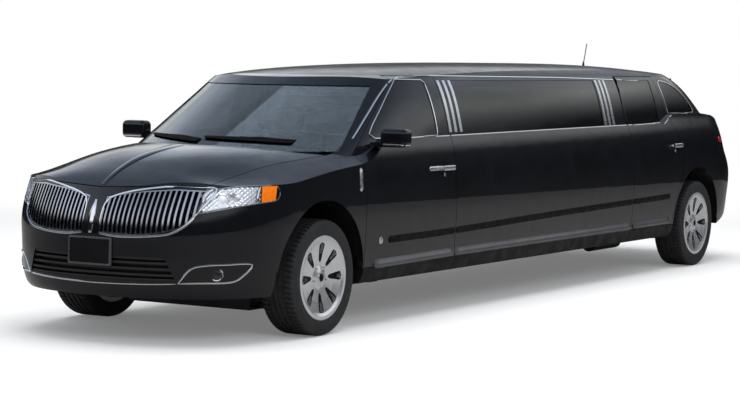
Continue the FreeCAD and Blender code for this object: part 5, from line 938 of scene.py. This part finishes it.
def fog_units():
    """Round lamp in each fog opening: bowl with its ring, and dome."""
    seat = NOSE_SKIN.seat(at(752, -880, 446) - FROM_CORNER * BEFORE_LENS, FROM_CORNER)
    axis = -FROM_CORNER.normalized()
    centre = seat[0] - axis * 0.016
    bowl = lathe((
        (0.041, -0.010), (0.041, 0.012), (0.038, 0.016), (0.034, 0.015), (0.033, 0.008), (0.024, -0.004),
        (0.010, -0.008), (0.0005, -0.009),
    ), centre, axis)
    both_sides("fog_bowl", bowl, CHROME, "root")
    dome = lathe((
        (0.033, 0.006), (0.032, 0.011), (0.026, 0.0155), (0.015, 0.0185), (0.0005, 0.0195)), centre, axis)
    both_sides("fog_dome", dome, LENS, "root")


FACET_PITCH = 0.0045
FACET_COLUMNS, FACET_ROWS = 40, 20
FACET_HEIGHT = 0.0022
BOWL_DEPTH = 0.016
TRAY_DEPTH = 0.014
PROJECTOR_DEPTH = 0.020
HOUSING_GAP = 0.012
# Shares of a projector's radius with heights, for its ring and its dome
PROJECTOR_RING = (
    (1.3, -0.008), (1.3, 0.004), (1.15, 0.008), (1.02, 0.006), (1.0, 0.001), (0.4, -0.004), (0, -0.005))
PROJECTOR_DOME = ((0.98, 0.001), (0.9, 0.006), (0.65, 0.0105), (0.3, 0.0125), (0, 0.013))
TIP_RADIUS = 0.0005
PROJECTORS = (("projector", (760, -840, 893), 0.030), ("side_bulb", (822, -760, 912), 0.017))


def lamp_insides():
    """Bright faceted tray, its housing and the projectors behind each headlamp's lens."""
    lens = Skin("headlamps")
    direction = FROM_CORNER.normalized()
    across = UP.cross(direction).normalized()
    upwards = direction.cross(across)
    middle = at(800, -790, 905)
    grid = {}
    points, faces = [], []
    for i in range(-FACET_COLUMNS, FACET_COLUMNS + 1):
        for j in range(-FACET_ROWS, FACET_ROWS + 1):
            origin = middle + across * i * FACET_PITCH + upwards * j * FACET_PITCH
            seat = lens.seat(origin - direction * BEFORE_LENS, direction)
            if seat is None or seat[0].x < 0:
                continue
            facet = FACET_HEIGHT * math.sin(i * 0.9) * math.sin(j * 1.1)
            bowl = BOWL_DEPTH * math.exp(-((i + 3) ** 2 / 70 + (j + 1) ** 2 / 26))
            grid[i, j] = len(points)
            points.append(seat[0] + direction * (TRAY_DEPTH + facet + bowl))
    for (i, j), start in grid.items():
        corners = [(i + 1, j), (i + 1, j + 1), (i, j + 1)]
        if all(corner in grid for corner in corners):
            faces.append((start, *(grid[corner] for corner in corners)))
    both_sides("lamp_tray", mesh_from(points, faces), TRAY, "root", 60)
    back = [point + direction * HOUSING_GAP for point in points]
    housing = mesh_from(back, [tuple(reversed(face)) for face in faces])
    both_sides("lamp_housing", housing, PLASTIC, "root", 60)
    for name, place, radius in PROJECTORS:
        front = lens.seat(at(*place) - direction * BEFORE_LENS, direction)[0]
        centre = front + direction * PROJECTOR_DEPTH
        # Each projector's dome carries a painted highlight in its near-white colour.
        for part, shares, finish in (("ring", PROJECTOR_RING, CHROME), ("dome", PROJECTOR_DOME, GLOW)):
            profile = [(max(radius * share, TIP_RADIUS), height) for share, height in shares]
            both_sides(f"{name}_{part}", lathe(profile, centre, -direction, 32), finish, "root")


SPINE_STEPS = 33
SPINE_START, SPINE_PITCH = -1020, 23
SPINE_HALF, SPINE_GROWTH, SPINE_HEIGHT = 0.016, 0.040, 0.010
SPINE_SECTION = (
    (-1.4, -0.2), (-1.12, 0.02), (-1.0, 0.45), (-0.8, 0.85), (0.0, 1.0), (0.8, 0.85), (1.0, 0.45),
    (1.12, 0.02), (1.4, -0.2))


def hood_ridge():
    """Raised spine along the middle of the hood, wider towards the windscreen."""
    hood = Skin("hood")
    points = []
    for step in range(SPINE_STEPS + 1):
        distance = SPINE_START + step * SPINE_PITCH
        if hood.seat(at(0, distance, ABOVE_HOOD), FROM_ABOVE) is None:
            continue
        share = step / SPINE_STEPS
        rise = math.sin(math.pi * min(1.0, share * 1.6 + 0.12) * 0.5)
        half, height = SPINE_HALF + SPINE_GROWTH * share, SPINE_HEIGHT * rise * (1 - share * 0.6)
        for side, lift in SPINE_SECTION:
            place = hood.seat(at(half * side * 1000, distance, ABOVE_HOOD), FROM_ABOVE)[0]
            points.append(place + UP * (lift * height))
    ring = len(SPINE_SECTION)
    mesh = mesh_from(points, wall(len(points) // ring, ring, looped=False))
    new_piece("hood_spine", mesh, PAINT, "hood", 60)


# Tail: strips, blank plate, reflectors, dark apron and exhaust tips
def across_tail(low, high, z, count=9):
    return [Vector((low + (high - low) * step / (count - 1), BEHIND_TAIL, z)) for step in range(count)]


def tail_details():
    strip = across_tail(-0.60, 0.60, 1.115)
    trim("tail_strip", REAR_SKIN, strip, TO_TAIL, 0.014, 0.005, pitch=0.03, pair=False)
    for name, low, high, z, width, rise, finish in (
            ("tail_strip_side", 0.668, 0.90, 1.115, 0.014, 0.005, CHROME),
            ("tail_lamp_foot", 0.668, 0.90, 0.982, 0.008, 0.004, CHROME),
            ("lamp_rib_0", 0.67, 0.89, 1.020, 0.008, 0.003, RED),
            ("lamp_rib_1", 0.67, 0.89, 1.050, 0.008, 0.003, RED),
            ("lamp_rib_2", 0.67, 0.89, 1.080, 0.008, 0.003, RED)):
        trim(name, REAR_SKIN, across_tail(low, high, z), TO_TAIL, width, rise, finish, pitch=0.02)
    tip = [at(960, 6560, 1096), at(958, 6600, 1092), at(952, 6640, 1086), at(945, 6680, 1080)]
    trim("tail_lamp_tip", REAR_SKIN, tip, FROM_REAR_CORNER, 0.046, 0.005, RED, pitch=0.012, sink=0.003,
         back=0.3)
    reflector = across_tail(0.60, 0.80, 0.60)
    trim("rear_reflector", REAR_SKIN, reflector, TO_TAIL, 0.030, 0.004, RED, pitch=0.02)
    apron = across_tail(-0.74, 0.74, 0.515, 21)
    trim("rear_apron", REAR_SKIN, apron, TO_TAIL, 0.080, 0.008, GUARD, pair=False, sink=0.004, pitch=0.05)
    ledge = across_tail(-0.70, 0.70, 0.752, 21)
    trim("rear_step", REAR_SKIN, ledge, TO_TAIL, 0.022, 0.004, PLASTIC, pair=False, pitch=0.05)
    place, normal, _ = REAR_SKIN.seat(Vector((0, BEHIND_TAIL, 0.905)), TO_TAIL)
    facing = (normal + Vector((0, 0.35, 0))).normalized()
    blank_plate("rear", "tailgate", place - facing * 0.012, facing, 0.352, 0.178, 0.020, 0.016, 0.005)


def exhaust_tips():
    """Bright sleeve over the end of each tailpipe."""
    left = [vertex.co.copy() for vertex in nodes["exhaust"].data.vertices if vertex.co.x > 0.05]
    last = max(point.y for point in left)
    ends = [point for point in left if point.y > last - 0.004]
    low = Vector([min(point[axis] for point in ends) for axis in range(3)])
    high = Vector([max(point[axis] for point in ends) for axis in range(3)])
    radius = (high.x - low.x) / 2
    centre = Vector(((low.x + high.x) / 2, last, (low.z + high.z) / 2))
    sleeve = lathe((
        (radius + 0.001, -0.090), (radius + 0.006, -0.086), (radius + 0.007, -0.004), (radius + 0.005, 0.002),
        (radius + 0.001, 0.002), (radius - 0.002, -0.002), (radius - 0.002, -0.030), (0.0005, -0.032),
    ), centre, TO_NOSE)
    both_sides("exhaust_tip", sleeve, CHROME, "root")


# Upholstery: crowned closed pads with sewn seams in the room of the solid seats
CABIN_FLOOR = 335
CUSHION_Z, PLINTH_Z, BENCH_BACK_Z = CABIN_FLOOR + 190, CABIN_FLOOR + 58, CABIN_FLOOR + 540
SEAM_DEPTH = 0.007
SEAM_WIDTH = 0.009
BOLSTER_START, BOLSTER_BLEND = 0.60, 0.16
CREASE_DEPTH, CREASE_SCALE = 0.0015, 14
WELT = 0.003
WELT_LEVEL, WELT_WIDTH = 0.45, 0.006
WALL_SHARE = 0.98
TILT_RUN, TILT_RISE = 0.9973, 0.0732


def axes(centre, across, backwards, facing):
    """Placement whose own X, Y and Z run along the three directions."""
    turn = Matrix((Vector(across), Vector(backwards), Vector(facing))).transposed().to_4x4()
    return Matrix.Translation(centre) @ turn


def tilted(centre, across, backwards):
    """Placement of a cushion whose rear edge lies a little lower."""
    backwards = Vector(backwards)
    rising = backwards * TILT_RISE + UP * TILT_RUN
    return axes(centre, across, backwards * TILT_RUN - UP * TILT_RISE, rising)


def pad_mesh(size, radius, crown, placement, seams=(), bolster=0.0, pinch=0.02, pitch=0.014):
    """Closed pad: its sides pull in between the corners, its face is crowned and its seams are drawn in."""
    half = Vector(size) / 2
    counts = [max(4, round(length / pitch)) for length in size]
    inner = Vector([value - radius for value in half])
    index_of = {}
    points, faces = [], []

    def shaped(share):
        place = Vector([share[axis] * half[axis] for axis in range(3)])
        core = Vector([max(-inner[axis], min(inner[axis], place[axis])) for axis in range(3)])
        place = core + (place - core).normalized() * radius
        face_share = (share[2] + 1) / 2
        place.x *= 1 - pinch * (1 - share[1] ** 2)
        place.y *= 1 - pinch * (1 - share[0] ** 2)
        lift = crown * ((1 - share[0] ** 4) * (1 - share[1] ** 4) - 1)
        if bolster:
            edge = max(0.0, min(1.0, (abs(share[0]) - BOLSTER_START) / BOLSTER_BLEND))
            lift += bolster * (edge * edge * (3 - 2 * edge) - 1)
        for axis, position in seams:
            lift -= SEAM_DEPTH * math.exp(-((place[axis] - position) / SEAM_WIDTH) ** 2)
        place.z += lift * face_share ** 2
        place.z += CREASE_DEPTH * face_share * noise.noise(place * CREASE_SCALE)
        welt = math.exp(-((share[2] - WELT_LEVEL) * half.z / WELT_WIDTH) ** 2) * WELT
        place.x -= math.copysign(welt, place.x) if abs(share[0]) > WALL_SHARE else 0
        place.y -= math.copysign(welt, place.y) if abs(share[1]) > WALL_SHARE else 0
        return place

    def corner(key):
        if key not in index_of:
            index_of[key] = len(points)
            points.append(placement @ shaped([2 * key[axis] / counts[axis] - 1 for axis in range(3)]))
        return index_of[key]

    for axis in range(3):
        first, second = (axis + 1) % 3, (axis + 2) % 3
        for level in (0, counts[axis]):
            for i in range(counts[first]):
                for j in range(counts[second]):
                    keys = []
                    for di, dj in ((0, 0), (1, 0), (1, 1), (0, 1)):
                        key = [0, 0, 0]
                        key[axis], key[first], key[second] = level, i + di, j + dj
                        keys.append(corner(tuple(key)))
                    faces.append(tuple(keys if level else reversed(keys)))
    return mesh_from(points, faces)


def leather_pad(name, replaced, *sizes, **shape):
    piece = new_piece(name, pad_mesh(*sizes, **shape), LEATHER, "root", 80)
    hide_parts(replaced)


def plinth(name, size, radius, placement, pitch):
    new_piece(name, pad_mesh(size, radius, 0.0, placement, pinch=0.0, pitch=pitch), PLASTIC, "root")


FRONT_SEAT = 1080
SEAT_LEAN = math.radians(8.6)


def front_seats():
    upwards = Vector((0, math.sin(SEAT_LEAN), math.cos(SEAT_LEAN)))
    facing = Vector((0, -math.cos(SEAT_LEAN), math.sin(SEAT_LEAN)))
    for side, sign in SIDE_OF.items():
        x = 400 * sign
        flat = tilted(at(x, FRONT_SEAT + 208, CUSHION_Z), (1, 0, 0), (0, 1, 0))
        leather_pad(
            f"front_cushion_{side}", "front_seats", (0.530, 0.405, 0.150), 0.045, 0.014, flat, bolster=0.012,
            seams=((0, -0.155), (0, 0.155), (1, -0.085), (1, 0.055)))
        back = axes(at(x, FRONT_SEAT + 505, CABIN_FLOOR + 545), (1, 0, 0), upwards, facing)
        leather_pad(
            f"front_back_{side}", "front_seats", (0.520, 0.690, 0.118), 0.040, 0.010, back, bolster=0.014,
            seams=((0, -0.150), (0, 0.150), (1, -0.180), (1, -0.020), (1, 0.140)))
        rest = axes(at(x, FRONT_SEAT + 546, CABIN_FLOOR + 974), (1, 0, 0), upwards, facing)
        leather_pad(
            f"head_rest_{side}", "front_seats", (0.262, 0.176, 0.080), 0.034, 0.010, rest, seams=((1, -0.04),))
        foot = axes(at(x, FRONT_SEAT + 262, PLINTH_Z), (1, 0, 0), (0, 1, 0), (0, 0, 1))
        plinth(f"front_seat_base_{side}", (0.470, 0.400, 0.112), 0.018, foot, 0.03)


def bench(name, length, sections, along, backwards, middles, pinch, pitch):
    """Bench in sewn sections: cushion, upright back and plinth, whose middles are given in this order."""
    seams = [(0, length * (step / sections - 0.5)) for step in range(1, sections)]
    flat = tilted(middles[0], along, backwards)
    leather_pad(
        f"{name}_cushion", "lounge_seats", (length, 0.395, 0.148), 0.045, 0.012, flat, pinch=pinch,
        pitch=pitch, seams=seams + [(1, -0.12)])
    back = axes(middles[1], along, UP, -Vector(backwards))
    leather_pad(
        f"{name}_back", "lounge_seats", (length, 0.575, 0.118), 0.040, 0.010, back, pinch=pinch, pitch=pitch,
        seams=seams + [(1, 0.17)])
    foot = axes(middles[2], along, backwards, UP)
    plinth(f"{name}_base", (length - 0.02, 0.430, 0.112), 0.014, foot, 0.04)


def benches():
    """Side bench with its back to the right wall and a bench across the rear."""
    middle = (2150 + 4560) / 2
    side = (at(-487, middle, CUSHION_Z), at(-742, middle, BENCH_BACK_Z), at(-555, middle, PLINTH_Z))
    bench("side_bench", 2.395, 8, (0, 1, 0), (-1, 0, 0), side, 0.004, 0.02)
    front = 4850
    rear = (at(0, front + 203, CUSHION_Z), at(0, front + 457, BENCH_BACK_Z), at(0, front + 265, PLINTH_Z))
    bench("rear_bench", 1.505, 5, (1, 0, 0), (0, 1, 0), rear, 0.006, 0.018)


# Camera at the photograph's place
CAMERA_PLACE = Vector((8.1636, -14.3959, 1.7398))
CAMERA_YAW = math.radians(31.25)
CAMERA_PITCH = math.radians(3.72)
CAMERA_ROLL = math.radians(0.83)
FOCAL_PIXELS = 2136.3
FRAME_PIXELS = 740
SENSOR_WIDTH = 36
FARTHEST_SEEN = 300


def add_camera():
    data = bpy.data.cameras.new("camera")
    data.sensor_width = SENSOR_WIDTH
    data.lens = FOCAL_PIXELS / FRAME_PIXELS * SENSOR_WIDTH
    data.clip_end = FARTHEST_SEEN
    turned = Matrix.Rotation(CAMERA_YAW, 4, "Z")
    lowered = Matrix.Rotation(math.pi / 2 - CAMERA_PITCH, 4, "X")
    rolled = Matrix.Rotation(CAMERA_ROLL, 4, "Z")
    camera = placed("camera", data)
    camera.matrix_world = Matrix.Translation(CAMERA_PLACE) @ turned @ lowered @ rolled
    bpy.context.scene.camera = camera


# Studio: white surroundings, a pale floor that fades into them, and a cloth dome that only gloss sees
WORLD_LIGHT = (0.93, 0.96, 1.0, 1)
WORLD_STRENGTH = 0.62
WHITE = (1, 1, 1, 1)


def seen_directly(graph):
    """1 for what the camera, gloss and glass see."""
    rays = graph.new("LightPath").outputs
    first = graph.math("MAXIMUM", rays["Is Camera Ray"], rays["Is Glossy Ray"])
    return graph.math("MAXIMUM", first, rays["Is Transmission Ray"])


def add_world():
    world = bpy.data.worlds.new("studio")
    world.use_nodes = True
    graph = Graph(world.node_tree)
    light = graph.fill(graph.tree.nodes["Background"], (("Color", WORLD_LIGHT), ("Strength", WORLD_STRENGTH)))
    white = graph.new("Background", (("Color", WHITE), ("Strength", 1.0)))
    shown = ((0, seen_directly(graph)), (1, light.outputs["Background"]), (2, white.outputs["Background"]))
    mix = graph.new("MixShader", shown)
    graph.link(mix.outputs["Shader"], graph.tree.nodes["World Output"].inputs["Surface"])
    bpy.context.scene.world = world


def stage_graph(name):
    """Material of a studio piece and its node tree, still without a shader."""
    material = bpy.data.materials.new(name)
    material.use_nodes = True
    graph = Graph(material.node_tree)
    graph.tree.nodes.remove(graph.tree.nodes["Principled BSDF"])
    return material, graph


def stage_piece(name, mesh, material):
    mesh.materials.append(material)
    piece = placed(name, mesh)
    return piece


FLOOR_RADIUS = 24.0
FLOOR_SIDES = 96
FLOOR_FADE_START = 5.2
FLOOR_FADE_END = 10.5
FLOOR_COLOUR = (0.80, 0.80, 0.80, 1)
FLOOR_GLOW = 0.16
GROUND_COLOUR = (0.33, 0.32, 0.31, 1)


def add_floor():
    """Pale floor that keeps the car's shadow and fades into the white. Gloss sees a darker ground."""
    material, graph = stage_graph("studio_floor")
    diffuse = graph.new("BsdfDiffuse", (("Color", FLOOR_COLOUR),))
    glow = graph.new("Emission", (("Strength", graph.math("MULTIPLY", seen_directly(graph), FLOOR_GLOW)),))
    lit = graph.new("AddShader", ((0, diffuse.outputs["BSDF"]), (1, glow.outputs["Emission"])))
    place = graph.new("TexCoord").outputs["Object"]
    length = graph.new("VectorMath", ((0, place),), "LENGTH").outputs["Value"]
    limits = (("From Min", FLOOR_FADE_START), ("From Max", FLOOR_FADE_END), ("Value", length))
    fade = graph.new("MapRange", limits)
    fade.interpolation_type = "SMOOTHSTEP"
    gone = graph.new("BsdfTransparent").outputs["BSDF"]
    faded = graph.new("MixShader", ((0, fade.outputs["Result"]), (1, lit.outputs["Shader"]), (2, gone)))
    ground = graph.new("BsdfDiffuse", (("Color", GROUND_COLOUR),)).outputs["BSDF"]
    gloss = graph.new("LightPath").outputs["Is Glossy Ray"]
    shown = graph.new("MixShader", ((0, gloss), (1, faded.outputs["Shader"]), (2, ground)))
    graph.link(shown.outputs["Shader"], graph.tree.nodes["Material Output"].inputs["Surface"])
    rim = [
        (FLOOR_RADIUS * math.cos(angle), FLOOR_RADIUS * math.sin(angle), 0) for angle in angles(FLOOR_SIDES)]
    stage_piece("studio_floor", mesh_from(rim, [tuple(range(FLOOR_SIDES))]), material)


SKY_RADIUS = 13.5
SKY_FOOT = 0.02
SKY_SIDES, SKY_ROWS = 64, 16
CLOUD_SCALE = 0.22
# Share of the dome's height, and the colour there
SKY_COLOURS = (
    (0.0, (0.010, 0.010, 0.011)), (0.225, (0.010, 0.010, 0.012)), (0.35, (0.97, 1.0, 1.0)),
    (0.50, (0.78, 0.86, 0.98)), (0.70, (0.36, 0.43, 0.54)), (1.0, (0.15, 0.20, 0.29)),
)


def add_sky():
    """Cloth dome round the studio that only gloss sees: dark low down, pale above that, and bluer overhead."""
    material, graph = stage_graph("studio_cloth")
    place = graph.new("TexCoord").outputs["Object"]
    height = graph.math("DIVIDE", graph.new("SeparateXYZ", (("Vector", place),)).outputs["Z"], SKY_RADIUS)
    ramp = graph.new("ValToRGB", (("Fac", height),))
    ramp.color_ramp.interpolation = "EASE"
    stops = ramp.color_ramp.elements
    while len(stops) < len(SKY_COLOURS):
        stops.new(0.5)
    for stop, (share, colour) in zip(stops, SKY_COLOURS):
        stop.position = share
        stop.color = (*colour, 1)
    clouds = graph.new("TexNoise", (("Scale", CLOUD_SCALE), ("Detail", 5.0), ("Vector", place))).outputs["Fac"]
    swing = graph.spread(clouds, 0.74, 1.34, 0.36, 0.64)
    cloth = graph.new("Emission", (("Color", ramp.outputs["Color"]), ("Strength", swing)))
    graph.link(cloth.outputs["Emission"], graph.tree.nodes["Material Output"].inputs["Surface"])
    points = []
    for row in range(SKY_ROWS):
        rise = math.pi / 2 * row / SKY_ROWS
        reach, z = SKY_RADIUS * math.cos(rise), SKY_FOOT + SKY_RADIUS * math.sin(rise)
        for angle in angles(SKY_SIDES):
            points.append((reach * math.cos(angle), reach * math.sin(angle), z))
    points.append((0, 0, SKY_FOOT + SKY_RADIUS))
    mesh = mesh_from(points, wall(SKY_ROWS, SKY_SIDES) + fan(SKY_ROWS, SKY_SIDES))
    dome = stage_piece("studio_cloth", mesh, material)
    dome.visible_camera = False
    dome.visible_diffuse = False
    dome.visible_shadow = False
    dome.visible_transmission = False


def add_lamp(name, place, aim, size, power):
    data = bpy.data.lights.new(name, "AREA")
    data.shape = "RECTANGLE"
    data.size, data.size_y = size
    data.energy = power
    lamp = placed(name, data)
    lamp.visible_glossy = False
    lamp.location = place
    lamp.rotation_mode = "QUATERNION"
    lamp.rotation_quaternion = (Vector(aim) - Vector(place)).to_track_quat("-Z", "Y")


def add_lamps():
    add_lamp("ceiling", (0, 0, 7.0), (0, 0, 0), (7.0, 11.0), 660)
    add_lamp("front_left", (9.0, -9.0, 6.0), (0, -2, 0.6), (5.0, 3.0), 260)


paint_nodes()
tyres()
side_chrome()
side_mouldings()
mirrors()
nose_trims()
ornament()
front_plate()
fog_units()
lamp_insides()
hood_ridge()
rim_details()
tail_details()
exhaust_tips()
front_seats()
benches()
add_camera()
add_world()
add_floor()
add_sky()
add_lamps()
bpy.context.scene.view_settings.view_transform = "Standard"
